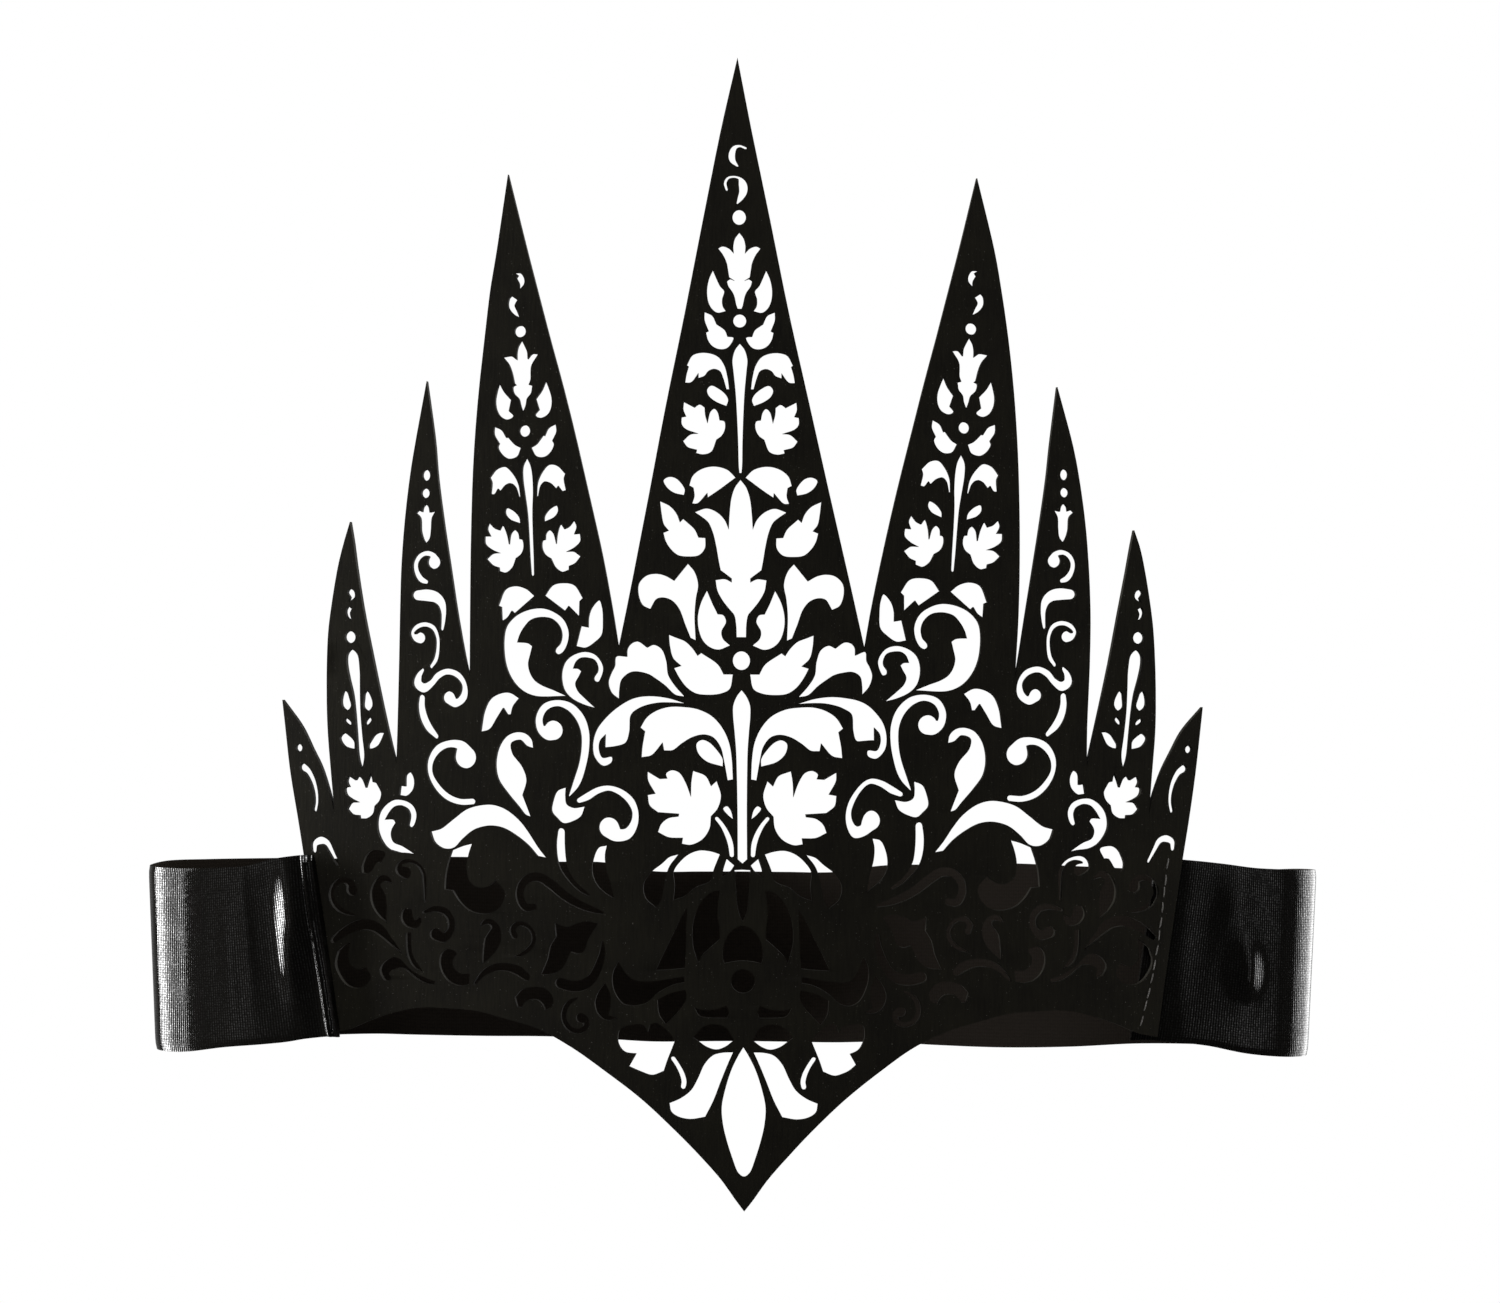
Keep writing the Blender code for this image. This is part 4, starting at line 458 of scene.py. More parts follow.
        (-81.8, -4.6), (-82.9, -2.3, TIP), (-84.8, -3.0), (-86.5, -1.8), (-86.9, 0.2), (-86.4, 3.1, TIP),
        (-88.0, 2.2),
    ],
    "band_boot": [
        (-64.2, 1.9), (-65.8, 1.1), (-66.4, -1.0), (-65.8, -3.4), (-64.2, -5.3), (-62.0, -6.1),
        (-59.8, -5.8, TIP), (-59.6, -3.4, TIP), (-61.6, -3.4), (-63.2, -2.0), (-63.3, -0.4), (-62.5, 1.0),
    ],
    "band_tongue": [
        (-56.9, -1.3, TIP), (-56.8, 0.8), (-56.6, 2.8), (-56.3, 4.3), (-55.5, 5.6), (-54.9, 6.6),
        (-55.3, 7.3), (-56.3, 7.3), (-57.4, 6.9, TIP), (-56.7, 8.2), (-55.4, 8.6), (-54.0, 8.1),
        (-53.0, 6.9), (-52.6, 5.2), (-52.9, 3.2), (-54.1, 1.2), (-55.6, -0.3),
    ],
    "band_cusp": [
        (-29.4, 24.7, TIP), (-31.2, 24.2), (-32.4, 21.6), (-32.6, 18.6), (-31.6, 16.2), (-29.9, 14.5),
        (-27.8, 13.2, TIP), (-28.6, 16.6), (-29.6, 20.0), (-29.8, 22.8),
    ],
    "band_great_leaf": [
        (-40.9, 7.9, TIP), (-40.6, 4.9, TIP), (-41.9, 2.7), (-42.6, -0.2), (-44.0, -3.4, TIP),
        (-41.4, -3.2), (-39.2, -1.9), (-37.4, 1.6, TIP), (-35.8, 1.2), (-34.5, 1.8), (-33.4, 4.6),
        (-31.4, 7.8, TIP), (-33.8, 8.3), (-36.0, 7.8), (-38.0, 7.0),
    ],
    "band_cap": [
        (-49.7, -8.4, TIP), (-48.2, -6.8), (-46.0, -6.1), (-43.6, -6.2), (-41.8, -7.4), (-41.2, -9.2),
        (-41.6, -10.3), (-43.1, -11.1, TIP), (-43.6, -9.9), (-44.6, -9.0), (-46.0, -8.8), (-47.3, -9.3),
        (-48.2, -10.6, TIP), (-49.2, -10.5, TIP),
    ],
    "band_tear": [
        (-29.9, -5.0, TIP), (-31.4, -7.0), (-32.2, -9.4), (-31.5, -11.8), (-29.8, -13.1),
        (-27.0, -12.6, TIP), (-29.2, -12.0, TIP), (-28.7, -10.0), (-28.8, -7.4),
    ],
}

# Scrolls, each the trace of a round pen and cut on both sides: across, up, half width.
SCROLLS = {
    "sprig": [
        (-5.5, 30.7, 0.4), (-4.3, 29.2, 0.45), (-3.1, 26.9, 0.55), (-2.5, 24.9, 0.55), (-2.3, 22.8, 0.45),
    ],
    "v_sprig": [
        (-15.2, -21.3, 0.5), (-14.2, -22.8, 0.5), (-13.3, -24.6, 0.55), (-12.9, -26.3, 0.55),
        (-13.1, -27.4, 0.5),
    ],
    "second_stem": [
        (-46.5, 108.5, 0.1), (-46.5, 106.6, 0.9), (-46.35, 104.3, 1.1), (-46.1, 101.0, 0.95),
        (-45.9, 97.0, 0.6), (-45.7, 92.0, 0.48), (-45.5, 87.0, 0.45), (-45.35, 83.4, 0.35),
    ],
    "swan_scroll": [
        (-37.6, 35.4, 0.15), (-36.0, 38.2, 0.8), (-34.6, 42.4, 0.85), (-34.0, 46.2, 0.9),
        (-34.1, 49.4, 0.95), (-35.2, 52.4, 1.0), (-37.4, 54.7, 0.9), (-40.2, 55.5, 0.65),
        (-42.8, 54.6, 0.8), (-44.1, 52.2, 0.85), (-43.7, 49.8, 0.95), (-42.3, 48.7, 1.2),
        (-41.0, 49.6, 2.1),
    ],
    "fern_scroll": [
        (-35.5, 34.4, 0.5), (-33.6, 35.3, 0.75), (-31.4, 36.6, 0.65), (-29.0, 37.15, 0.55),
        (-26.4, 36.3, 0.7), (-24.2, 34.4, 0.8), (-23.2, 32.0, 0.7), (-23.5, 29.4, 0.85),
        (-25.0, 27.3, 1.15), (-27.4, 27.1, 1.5), (-28.9, 28.6, 2.2),
    ],
    "third_curl": [
        (-68.9, 81.7, 0.4), (-70.2, 82.3, 0.7), (-71.2, 84.0, 0.65), (-71.3, 85.8, 0.62),
        (-70.4, 87.3, 0.6), (-68.9, 87.95, 0.5), (-67.5, 87.4, 0.7), (-67.2, 86.0, 1.45),
    ],
    "third_elbow": [
        (-71.1, 78.8, 1.05), (-69.0, 78.8, 1.25), (-67.0, 78.4, 1.2), (-65.7, 77.2, 1.0),
        (-65.2, 75.2, 0.7), (-65.3, 73.0, 0.55), (-65.5, 71.5, 0.42),
    ],
    "third_swan": [
        (-68.0, 63.3, 0.45), (-67.0, 64.8, 0.55), (-66.5, 67.4, 0.5), (-66.6, 69.8, 0.5),
        (-67.5, 71.7, 0.55), (-69.3, 72.45, 0.45), (-71.2, 71.9, 0.55), (-72.2, 70.6, 0.5),
        (-71.5, 69.4, 0.7), (-70.4, 69.5, 1.2),
    ],
    "third_stroke": [
        (-70.1, 56.4, 0.75), (-70.2, 54.6, 0.85), (-69.7, 52.2, 0.95), (-68.6, 50.0, 0.9),
        (-66.9, 48.1, 0.55),
    ],
    "third_snail": [
        (-69.9, 62.5, 0.4), (-70.8, 61.2, 0.75), (-71.0, 59.5, 1.05), (-69.7, 58.6, 1.0),
        (-68.0, 59.6, 0.75), (-66.5, 61.3, 0.75), (-64.4, 62.2, 0.62), (-62.0, 61.4, 0.7),
        (-60.6, 59.2, 0.65), (-60.9, 56.6, 0.9), (-62.7, 55.3, 0.85), (-64.0, 56.5, 1.4),
    ],
    "great_snail": [
        (-58.8, 34.0, 0.6), (-61.6, 33.9, 0.65), (-64.4, 34.9, 0.75), (-66.7, 37.0, 0.75),
        (-68.3, 40.0, 0.65), (-68.2, 42.8, 0.75), (-66.5, 45.4, 0.85), (-63.9, 46.5, 0.75),
        (-61.4, 46.0, 1.2), (-60.4, 43.6, 2.4),
    ],
    "fifth_arc": [
        (-97.1, 41.0, 0.85), (-96.2, 40.3, 0.75), (-95.0, 38.2, 0.65), (-94.3, 35.6, 0.55),
        (-94.2, 33.4, 0.5), (-94.5, 31.8, 0.5),
    ],
    "fifth_hook": [
        (-94.75, 22.9, 0.6), (-94.6, 24.4, 0.75), (-93.2, 25.1, 0.8), (-91.9, 24.6, 0.75),
        (-90.7, 22.6, 0.6), (-89.3, 20.0, 0.45),
    ],
    "band_c": [
        (-86.0, 14.4, 1.3), (-86.4, 15.6, 0.95), (-87.4, 16.35, 0.7), (-88.9, 16.3, 0.6),
        (-90.2, 15.2, 0.6), (-90.8, 13.4, 0.6), (-90.3, 11.6, 0.65), (-89.0, 10.2, 0.65), (-87.3, 9.4, 0.5),
        (-85.4, 8.9, 0.2),
    ],
    "band_crook": [
        (-73.9, 18.3, 1.3), (-75.3, 18.9, 0.9), (-75.0, 20.3, 0.55), (-73.4, 20.9, 0.42),
        (-71.3, 20.3, 0.42), (-69.9, 18.4, 0.5), (-69.6, 15.4, 0.45), (-69.6, 12.2, 0.3),
    ],
    "band_curl": [
        (-69.9, 9.8, 0.3), (-67.6, 10.5, 0.6), (-65.2, 10.1, 0.8), (-63.8, 8.2, 0.8), (-63.9, 5.9, 0.8),
        (-65.4, 4.3, 1.0), (-67.2, 5.0, 1.3),
    ],
    "band_bough": [
        (-90.4, 3.3, 0.6), (-88.6, 4.7, 0.9), (-86.2, 6.1, 1.05), (-83.6, 6.9, 1.15), (-81.2, 6.6, 1.2),
        (-79.3, 5.4, 1.1), (-78.0, 4.0, 0.78), (-76.4, 2.4, 0.5), (-74.9, 0.9, 0.12),
    ],
    "band_tendril": [
        (-58.6, -5.6, 0.3), (-56.6, -3.3, 0.6), (-54.0, -2.0, 0.8), (-51.2, -1.9, 0.9), (-48.8, -2.7, 1.05),
        (-47.2, -3.9, 0.9),
    ],
    "band_question": [
        (-49.7, 5.0, 0.75), (-50.1, 6.2, 0.7), (-49.3, 7.4, 0.55), (-48.0, 7.6, 0.5), (-46.6, 6.9, 0.5),
        (-45.7, 5.6, 0.5), (-45.5, 4.2, 0.5), (-45.9, 2.9, 0.5), (-47.0, 1.7, 0.45), (-48.3, 0.9, 0.35),
        (-49.5, 0.5, 0.12),
    ],
    "band_great_scroll": [
        (-45.4, 11.3, 0.7), (-47.2, 11.2, 0.9), (-48.4, 13.0, 0.9), (-48.3, 15.4, 0.9), (-46.7, 17.4, 0.9),
        (-44.2, 17.7, 1.0), (-41.6, 16.2, 1.05), (-38.8, 13.9, 1.0), (-35.8, 12.1, 0.9), (-32.8, 10.9, 0.7),
        (-30.4, 10.2, 0.35),
    ],
    "band_blade": [
        (-39.35, 27.6, 0.8), (-39.5, 25.0, 0.95), (-39.3, 22.0, 0.95), (-38.7, 19.6, 0.8),
        (-37.2, 17.2, 0.6), (-35.2, 15.2, 0.5), (-33.4, 14.0, 0.3),
    ],
    "band_wave": [
        (-39.6, -5.2, 1.2), (-37.2, -5.8, 1.2), (-34.7, -5.5, 1.15), (-32.7, -4.0, 1.0), (-31.4, -1.5, 0.9),
        (-30.5, 1.3, 0.7), (-30.4, 3.8, 0.3),
    ],
    "band_spiral": [
        (-36.0, -8.3, 0.2), (-37.9, -9.5, 0.5), (-38.9, -11.4, 0.6), (-38.8, -13.4, 0.6),
        (-37.5, -15.1, 0.6), (-35.6, -15.5, 0.55), (-34.2, -14.6, 0.6), (-34.2, -13.2, 0.8),
        (-35.2, -12.7, 1.1),
    ],
}

# Leaves in pairs about the leaning middle of the second and the fourth spike.
SECOND_PAIRS = {
    "pair_drop": [
        (-52.5, 124.9, TIP), (-53.0, 123.2), (-53.4, 121.0), (-53.1, 119.0), (-52.2, 117.6), (-50.6, 117.0),
        (-49.4, 117.7), (-50.4, 118.8, TIP), (-49.9, 121.2, TIP), (-51.4, 122.9),
    ],
    "pair_leaf": [
        (-53.7, 115.4, TIP), (-53.7, 113.7), (-52.6, 111.8, TIP), (-52.9, 111.0), (-51.9, 109.3),
        (-50.4, 108.5), (-48.6, 109.0), (-47.8, 110.8, TIP), (-49.0, 111.4), (-50.7, 113.2, TIP),
        (-51.0, 113.0, TIP), (-52.0, 114.6),
    ],
    "pair_hood": [
        (-51.3, 106.7), (-53.2, 106.2), (-54.7, 104.4, TIP), (-54.3, 103.4), (-54.5, 100.9, TIP),
        (-53.7, 100.8), (-52.9, 102.0, TIP), (-52.4, 101.4, TIP), (-51.2, 102.8), (-50.1, 103.2),
        (-49.1, 102.4), (-48.3, 100.1, TIP), (-47.95, 100.3, TIP), (-48.4, 103.0), (-49.6, 105.2),
    ],
    "pair_seed": [
        (-51.1, 97.7), (-51.3, 96.6), (-50.4, 95.4), (-48.0, 94.5, TIP), (-48.2, 95.7), (-49.6, 97.2),
    ],
    "pair_maple": [
        (-54.9, 94.6, TIP), (-55.3, 93.2), (-54.6, 91.6, TIP), (-55.9, 91.6, TIP), (-55.8, 90.0),
        (-54.4, 88.8), (-52.5, 88.0, TIP), (-54.2, 87.8), (-55.5, 86.7, TIP), (-54.2, 85.4),
        (-52.8, 84.9, TIP), (-52.7, 84.1, TIP), (-51.2, 83.8), (-49.8, 84.9), (-49.0, 86.9, TIP),
        (-47.8, 87.9), (-47.3, 89.4), (-47.6, 90.9), (-48.2, 91.0, TIP), (-48.5, 92.4), (-49.3, 93.0),
        (-50.1, 92.2), (-50.5, 89.9, TIP), (-51.0, 92.2), (-51.9, 94.0), (-52.6, 92.9, TIP), (-53.6, 93.3),
    ],
}
FOURTH_PAIRS = {
    "pair_bud": [
        (-87.6, 57.9), (-88.3, 55.9), (-88.1, 54.4), (-87.0, 53.6), (-86.1, 54.5), (-86.5, 56.4),
        (-86.9, 57.5),
    ],
    "pair_chip": [
        (-87.3, 51.9), (-87.6, 51.3), (-86.5, 50.4), (-86.0, 50.6), (-86.2, 51.2),
    ],
}
SECOND_MIDDLE = (-45.4, 84.0, -0.048)  # across, up, lean outwards for each mm up
FOURTH_MIDDLE = (-83.6, 42.0, -0.094)
# How far the inner one of a pair stands from its mirrored place: across, up.
PAIR_SHIFT = {
    "pair_maple": (0.75, -0.35),
    "pair_seed": (1.05, 0.1),
    "pair_bud": (0.25, -0.5),
    "pair_chip": (0.0, -0.3),
}


def spline(rows, step, closed):
    """A smooth curve through rows of any width, with a sample about every step."""
    rows = np.asarray(rows, float)
    if closed:
        rows = np.vstack([rows[-1], rows, rows[0], rows[1]])
    else:
        rows = np.vstack([2 * rows[0] - rows[1], rows, 2 * rows[-1] - rows[-2]])
    out = []
    for a, b, c, d in zip(rows, rows[1:], rows[2:], rows[3:]):
        spans = [math.sqrt(max(math.dist(p[:2], q[:2]), 1e-6)) for p, q in ((a, b), (b, c), (c, d))]
        t0, t1, t2, t3 = np.cumsum([0.0] + spans)
        count = max(1, math.ceil(math.dist(b[:2], c[:2]) / step))
        for t in np.linspace(t1, t2, count, endpoint=False):
            a1 = ((t1 - t) * a + (t - t0) * b) / (t1 - t0)
            a2 = ((t2 - t) * b + (t - t1) * c) / (t2 - t1)
            a3 = ((t3 - t) * c + (t - t2) * d) / (t3 - t2)
            b1 = ((t2 - t) * a1 + (t - t0) * a2) / (t2 - t0)
            b2 = ((t3 - t) * a2 + (t - t1) * a3) / (t3 - t1)
            out.append(((t2 - t) * b1 + (t - t1) * b2) / (t2 - t1))
    if not closed:
        out.append(rows[-2])
    return np.array(out)


def leaf(rows):
    """A closed edge that is smooth through its rows, with a corner at each TIP."""
    tips = [i for i, row in enumerate(rows) if len(row) > 2]
    points = [row[:2] for row in rows]
    count = len(points)
    runs = []
    for k, start in enumerate(tips):
        length = (tips[(k + 1) % len(tips)] - start - 1) % count + 2
        run = [points[(start + i) % count] for i in range(length)]
        runs.append(spline(run, TRACE_STEP, False)[:-1])
    return np.vstack(runs) if runs else spline(points, TRACE_STEP, True)


def scroll(rows):
    """The edge of what a round pen covers as it runs along the rows and swells."""
    trace = spline(rows, TRACE_STEP, False)
    centre = trace[:, :2]
    half = trace[:, 2]
    run = np.gradient(centre, axis=0)
    length = np.linalg.norm(run, axis=1)
    along = run / length[:, None]
    side = np.stack([-along[:, 1], along[:, 0]], 1)
    swell = np.clip(np.gradient(half) / length, -STEEPEST_SWELL, STEEPEST_SWELL)[:, None]
    left = side * np.sqrt(1 - swell**2) - along * swell
    right = -side * np.sqrt(1 - swell**2) - along * swell

    def uncovered(points):
        gap = np.linalg.norm(points[:, None] - centre, axis=2) - half
        return points[gap.min(axis=1) > -PEN_SLACK]

    def round_end(i, first, last):
        start = math.atan2(first[1], first[0])
        turn = (math.atan2(last[1], last[0]) - start) % math.tau
        count = max(2, math.ceil(turn * half[i] / TRACE_STEP))
        angle = start + turn * np.arange(1, count) / count
        return centre[i] + half[i] * np.stack([np.cos(angle), np.sin(angle)], 1)

    parts = [
        uncovered(centre + right * half[:, None]),
        uncovered(round_end(-1, right[-1], left[-1])),
        uncovered(centre + left * half[:, None])[::-1],
        uncovered(round_end(0, left[0], right[0])),
    ]
    return np.vstack(parts)


def dot(across, up, half_width, half_height):
    count = max(12, math.ceil(math.tau * half_width / TRACE_STEP))
    angle = math.tau * np.arange(count) / count
    return np.stack([across + half_width * np.cos(angle), up + half_height * np.sin(angle)], 1)


def whole(rows):
    """The rows of a left half, followed by its mirrored right half."""
    return rows + [(-row[0], *row[1:]) for row in reversed(rows) if row[0] != 0.0]


def eased(value, first, last):
    """A soft step from 0 at the first value to 1 at the last."""
    share = np.clip((value - first) / (last - first), 0.0, 1.0)
    return share * share * (3 - 2 * share)


def in_wing(edge):
    """A mirrored cut, moved to where the real right wing has it."""
    across, up = edge.T
    share = eased(across, *WING_EDGE)
    out = across - WING_MIDDLE
    rise = np.maximum(up - WING_LEVEL, 0.0)
    shift_across = WING_ACROSS[0] + WING_ACROSS[1] * out + WING_ACROSS[2] * rise
    shift_up = WING_UP[0] + WING_UP[1] * out + WING_UP[2] * rise
    foot = FOOT_RISE * eased(across, *FOOT_ACROSS) * eased(-up, *FOOT_BELOW)
    return edge + np.stack([share * shift_across, share * shift_up + foot], 1)


def mirrored(edge):
    return in_wing((edge * (-1.0, 1.0))[::-1])


def across_spike(edge, middle):
    """The edge mirrored about a spike's leaning middle."""
    across, up, lean = middle
    along = np.array([lean, 1.0]) / math.hypot(lean, 1.0)
    offset = edge - (across, up)
    return (2 * np.outer(offset @ along, along) - offset + (across, up))[::-1]


def thinned(edge):
    """The edge with only the points that it needs to stay within its tolerance."""
    edge = np.vstack([edge, edge[:1]])
    far = int(np.linalg.norm(edge - edge[0], axis=1).argmax())
    kept = {0, far}
    spans = [(0, far), (far, len(edge) - 1)]
    while spans:
        first, last = spans.pop()
        if last - first < 2:
            continue
        chord = edge[last] - edge[first]
        chord /= np.linalg.norm(chord)
        offset = edge[first + 1 : last] - edge[first]
        away = np.abs(offset[:, 0] * chord[1] - offset[:, 1] * chord[0])
        if away.max() > TRACE_TOLERANCE:
            middle = first + 1 + int(away.argmax())
            kept.add(middle)
            spans += [(first, middle), (middle, last)]
    return edge[sorted(kept)]


def sheet_edges():
    """The sheet's outline, then every cut."""
    edges = [leaf(OUTLINE)]
    edges += [dot(*row) for row in CENTRE_DOTS]
    edges += [leaf(whole(rows)) for rows in CENTRE_LEAVES.values()]
    edges += [scroll(rows) for rows in CENTRE_SCROLLS.values()]
    left = [dot(*row) for row in SIDE_DOTS]
    left += [leaf(rows) for rows in LEAVES.values()]
    left += [scroll(rows) for rows in SCROLLS.values()]
    for pairs, middle in ((SECOND_PAIRS, SECOND_MIDDLE), (FOURTH_PAIRS, FOURTH_MIDDLE)):
        for name, rows in pairs.items():
            left += [leaf(rows), across_spike(leaf(rows), middle) + PAIR_SHIFT.get(name, (0.0, 0.0))]
    edges += left + [mirrored(edge) for edge in left]
    return [thinned(edge) for edge in edges]


def bent(across, up, depth):
    """A place on the leaning sheet, depth behind its front face, on the bend about an upright line."""
    angle = (across + SHEET_LEAN * up) / BEND_RADIUS
    radius = BEND_RADIUS - depth
    back = BEND_RADIUS - radius * math.cos(angle)
    return (radius * math.sin(angle) * MM, (back - HEAD_CENTRE) * MM, up * MM)


def cut_sheet():
    """The outline and cuts filled as one flat shape, thickened, softened at its edges, then bent."""
    curve = bpy.data.curves.new("cut_lines", "CURVE")
    curve.dimensions = "2D"
    curve.fill_mode = "BOTH"
    curve.extrude = SHEET_THICKNESS / 2
    for edge in sheet_edges():
        line = curve.splines.new("POLY")
        line.points.add(len(edge) - 1)
        for point, (across, up) in zip(line.points, edge):
            point.co = (across, up, 0.0, 1.0)
        line.use_cyclic_u = True
    flat = bpy.data.objects.new("cut_lines", curve)
    mesh = bpy.data.meshes.new_from_object(flat)
    bpy.data.objects.remove(flat)
    shape = bmesh.new()
    shape.from_mesh(mesh)
    bmesh.ops.remove_doubles(shape, verts=shape.verts, dist=SAME_PLACE)
    bmesh.ops.recalc_face_normals(shape, faces=shape.faces)
    for face in shape.faces:
        face.material_index = 0 if abs(face.normal.z) > 0.5 else 1
    rims = [e for e in shape.edges if len({f.material_index for f in e.link_faces}) == 2]
    bmesh.ops.bevel(
        shape, geom=rims, offset=EDGE_SOFTNESS, offset_type="OFFSET", affect="EDGES", segments=1,
        profile=0.5, clamp_overlap=True, material=1,
    )
    reach = math.ceil(max(abs(vert.co.x) for vert in shape.verts) / BEND_STEP)
    for i in range(-reach, reach + 1):
        everything = shape.verts[:] + shape.edges[:] + shape.faces[:]
        line = (i * BEND_STEP, 0.0, 0.0)
        bmesh.ops.bisect_plane(
            shape, geom=everything, dist=ON_LINE, plane_co=line, plane_no=(1.0, 0.0, 0.0)
        )
    for vert in shape.verts:
        across, up, toward_front = vert.co
        vert.co = bent(across, up, SHEET_THICKNESS / 2 - toward_front)
    bmesh.ops.triangulate(shape, faces=[face for face in shape.faces if len(face.verts) > 4])
    shape.to_mesh(mesh)
    shape.free()
    mesh.shade_smooth()
    mesh.set_sharp_from_angle(angle=SHEET_CREASE)
    obj = bpy.data.objects.new("cut_sheet", mesh)
    bpy.context.scene.collection.objects.link(obj)
    return obj


def paint(hex_code):
    """An sRGB hex value as a linear colour."""
    parts = [int(hex_code[i : i + 2], 16) / 255 for i in (1, 3, 5)]
    return tuple(p / 12.92 if p <= 0.04045 else ((p + 0.055) / 1.055) ** 2.4 for p in parts) + (1.0,)


def add_node(tree, kind, values=None, links=None, **settings):
    """Adds a node with its settings, its unlinked values and its incoming links."""
    node = tree.nodes.new(kind)
    for name, value in settings.items():
        setattr(node, name, value)
    for socket, value in (values or {}).items():
        node.inputs[socket].default_value = value
    for socket, source in (links or {}).items():
        tree.links.new(source, node.inputs[socket])
    return node


def new_material(name, values):
    """A Principled material with its constant values; gives it, its tree and its shader."""
    material = bpy.data.materials.new(name)
    material.use_nodes = True
    shader = material.node_tree.nodes["Principled BSDF"]
    for socket, value in values.items():
        shader.inputs[socket].default_value = value
    return material, material.node_tree, shader


def noise(tree, place, scale, detail, roughness=0.5):
    """A soft random value from 0 to 1, with its scale in patches to the metre."""
    values = {"Scale": scale, "Detail": detail, "Roughness": roughness}
    return add_node(tree, "ShaderNodeTexNoise", values, {"Vector": place}).outputs["Fac"]


def ranged(tree, value, first, last, low, high):
    """The value from first to last, stretched to run from low to high and held there at both ends."""
    values = {"From Min": first, "From Max": last, "To Min": low, "To Max": high}
    return add_node(tree, "ShaderNodeMapRange", values, {"Value": value}).outputs["Result"]


def joined(tree, operation, first, second):
    """Two values added or multiplied."""
    return add_node(tree, "ShaderNodeMath", {}, {0: first, 1: second}, operation=operation).outputs["Value"]


def toned(tree, share, first, second):
    """A colour between two hex values, by a share from 0 to 1."""
    values = {"A": paint(first), "B": paint(second)}
    mix = add_node(tree, "ShaderNodeMix", values, {"Factor": share}, data_type="RGBA")
    return mix.outputs["Result"]


def link_surface(tree, shader, sockets, height, strength, depth, invert=False):
    """Links the shader's sockets, and gives it a relief of the height, its depth in metres."""
    values = {"Strength": strength, "Distance": depth}
    bump = add_node(tree, "ShaderNodeBump", values, {"Height": height}, invert=invert)
    for socket, source in {**sockets, "Normal": bump.outputs["Normal"]}.items():
        tree.links.new(source, shader.inputs[socket])


def leatherette():
    """Felt-finished PVC leatherette, calendered and die-cut: matte near-black with faint upright fibres."""
    material, tree, shader = new_material(
        "felt_finished_leatherette", {"Roughness": 0.82, "IOR": 1.45, "Specular IOR Level": 0.16}
    )
    place = add_node(tree, "ShaderNodeTexCoord").outputs["Object"]
    # Upright fibres 0.4 mm wide and about 5 mm long.
    fibre_space = add_node(tree, "ShaderNodeMapping", {"Scale": (2500.0, 2500.0, 200.0)}, {"Vector": place})
    fibres = noise(tree, fibre_space.outputs["Vector"], 1.0, 3.0, 0.6)
    # The nap lies unevenly in patches about 12 mm across.
    nap = noise(tree, place, 80.0, 4.0, 0.55)
    fibre_tone = ranged(tree, fibres, 0.3, 0.75, 0.0, 0.55)
    nap_tone = ranged(tree, nap, 0.35, 0.7, 0.0, 0.45)
    black = toned(tree, joined(tree, "ADD", fibre_tone, nap_tone), "#14120e", "#232119")
    # Single pale fibres, 0.15 mm grains a few millimetres apart.
    grains = ranged(tree, noise(tree, place, 3200.0, 1.0), 0.735, 0.80, 0.0, 0.8)
    colour = add_node(
        tree, "ShaderNodeMix", {"B": paint("#6b6862")}, {"Factor": grains, "A": black}, data_type="RGBA"
    )
    link_surface(tree, shader, {"Base Color": colour.outputs["Result"]}, fibres, 0.5, 0.00008)
    return material


def raw_edge():
    """The cut edge of the sheet: its needle-felt backing, pale torn fibres with glints painted on them as
    pale specks in its colour.
    """
    material, tree, shader = new_material(
        "raw_needle_felt_edge", {"Roughness": 0.9, "Specular IOR Level": 0.2}
    )
    place = add_node(tree, "ShaderNodeTexCoord").outputs["Object"]
    # Torn fibre ends 0.3 mm across.
    fuzz = noise(tree, place, 2600.0, 2.0, 0.7)
    # The pale specks come and go in stretches about 6 mm long.
    speck_stretches = noise(tree, place, 160.0, 2.0)
    # The pale specks are the backing's pale fibres, lightened into painted glints all along the edge.
    pale_fibres_and_painted_glints = ranged(tree, joined(tree, "MULTIPLY", fuzz, speck_stretches), 0.2, 0.34, 0.0, 1.0)
    link_surface(tree, shader, {"Base Color": toned(tree, pale_fibres_and_painted_glints, "#2a2823", "#d0cac0")}, fuzz, 0.6, 0.0002)
    return material


sheet = cut_sheet()
sheet.data.materials.clear()
sheet.data.materials.append(leatherette())
sheet.data.materials.append(raw_edge())
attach(sheet, "root")
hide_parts("crown_panel")

# The band. The real one is 40 mm wide wet-look stretch knit: a ribbed knit outside with a glossy coating,
# matte inside. Its left end is turned under and sewn on the sheet's front, its right end is sewn behind
# the sheet, and between them it goes out past the sheet and round the back of the head.

BAND_THICKNESS = 1.0
HEM_THICKNESS = 2.0
FOLD_FLARE = 0.9  # how far the band's top stands out, and its foot in, at the two folds
BAND_STEP = 0.45
BAND_ROWS = 32
ROUNDED = 24  # the higher this power, the closer to the cut edges the rounding begins
THINNED = 0.6  # share of the thickness that is gone at the very edge
BAND_CREASE = math.radians(50)  # edges sharper than this stay sharp
RIB_PITCH = 0.58
WAVE_TURN = 20.0  # radians that the wave texture turns for each unit
LOOPS_ALONG = 1725.0  # to the metre, one to each rib

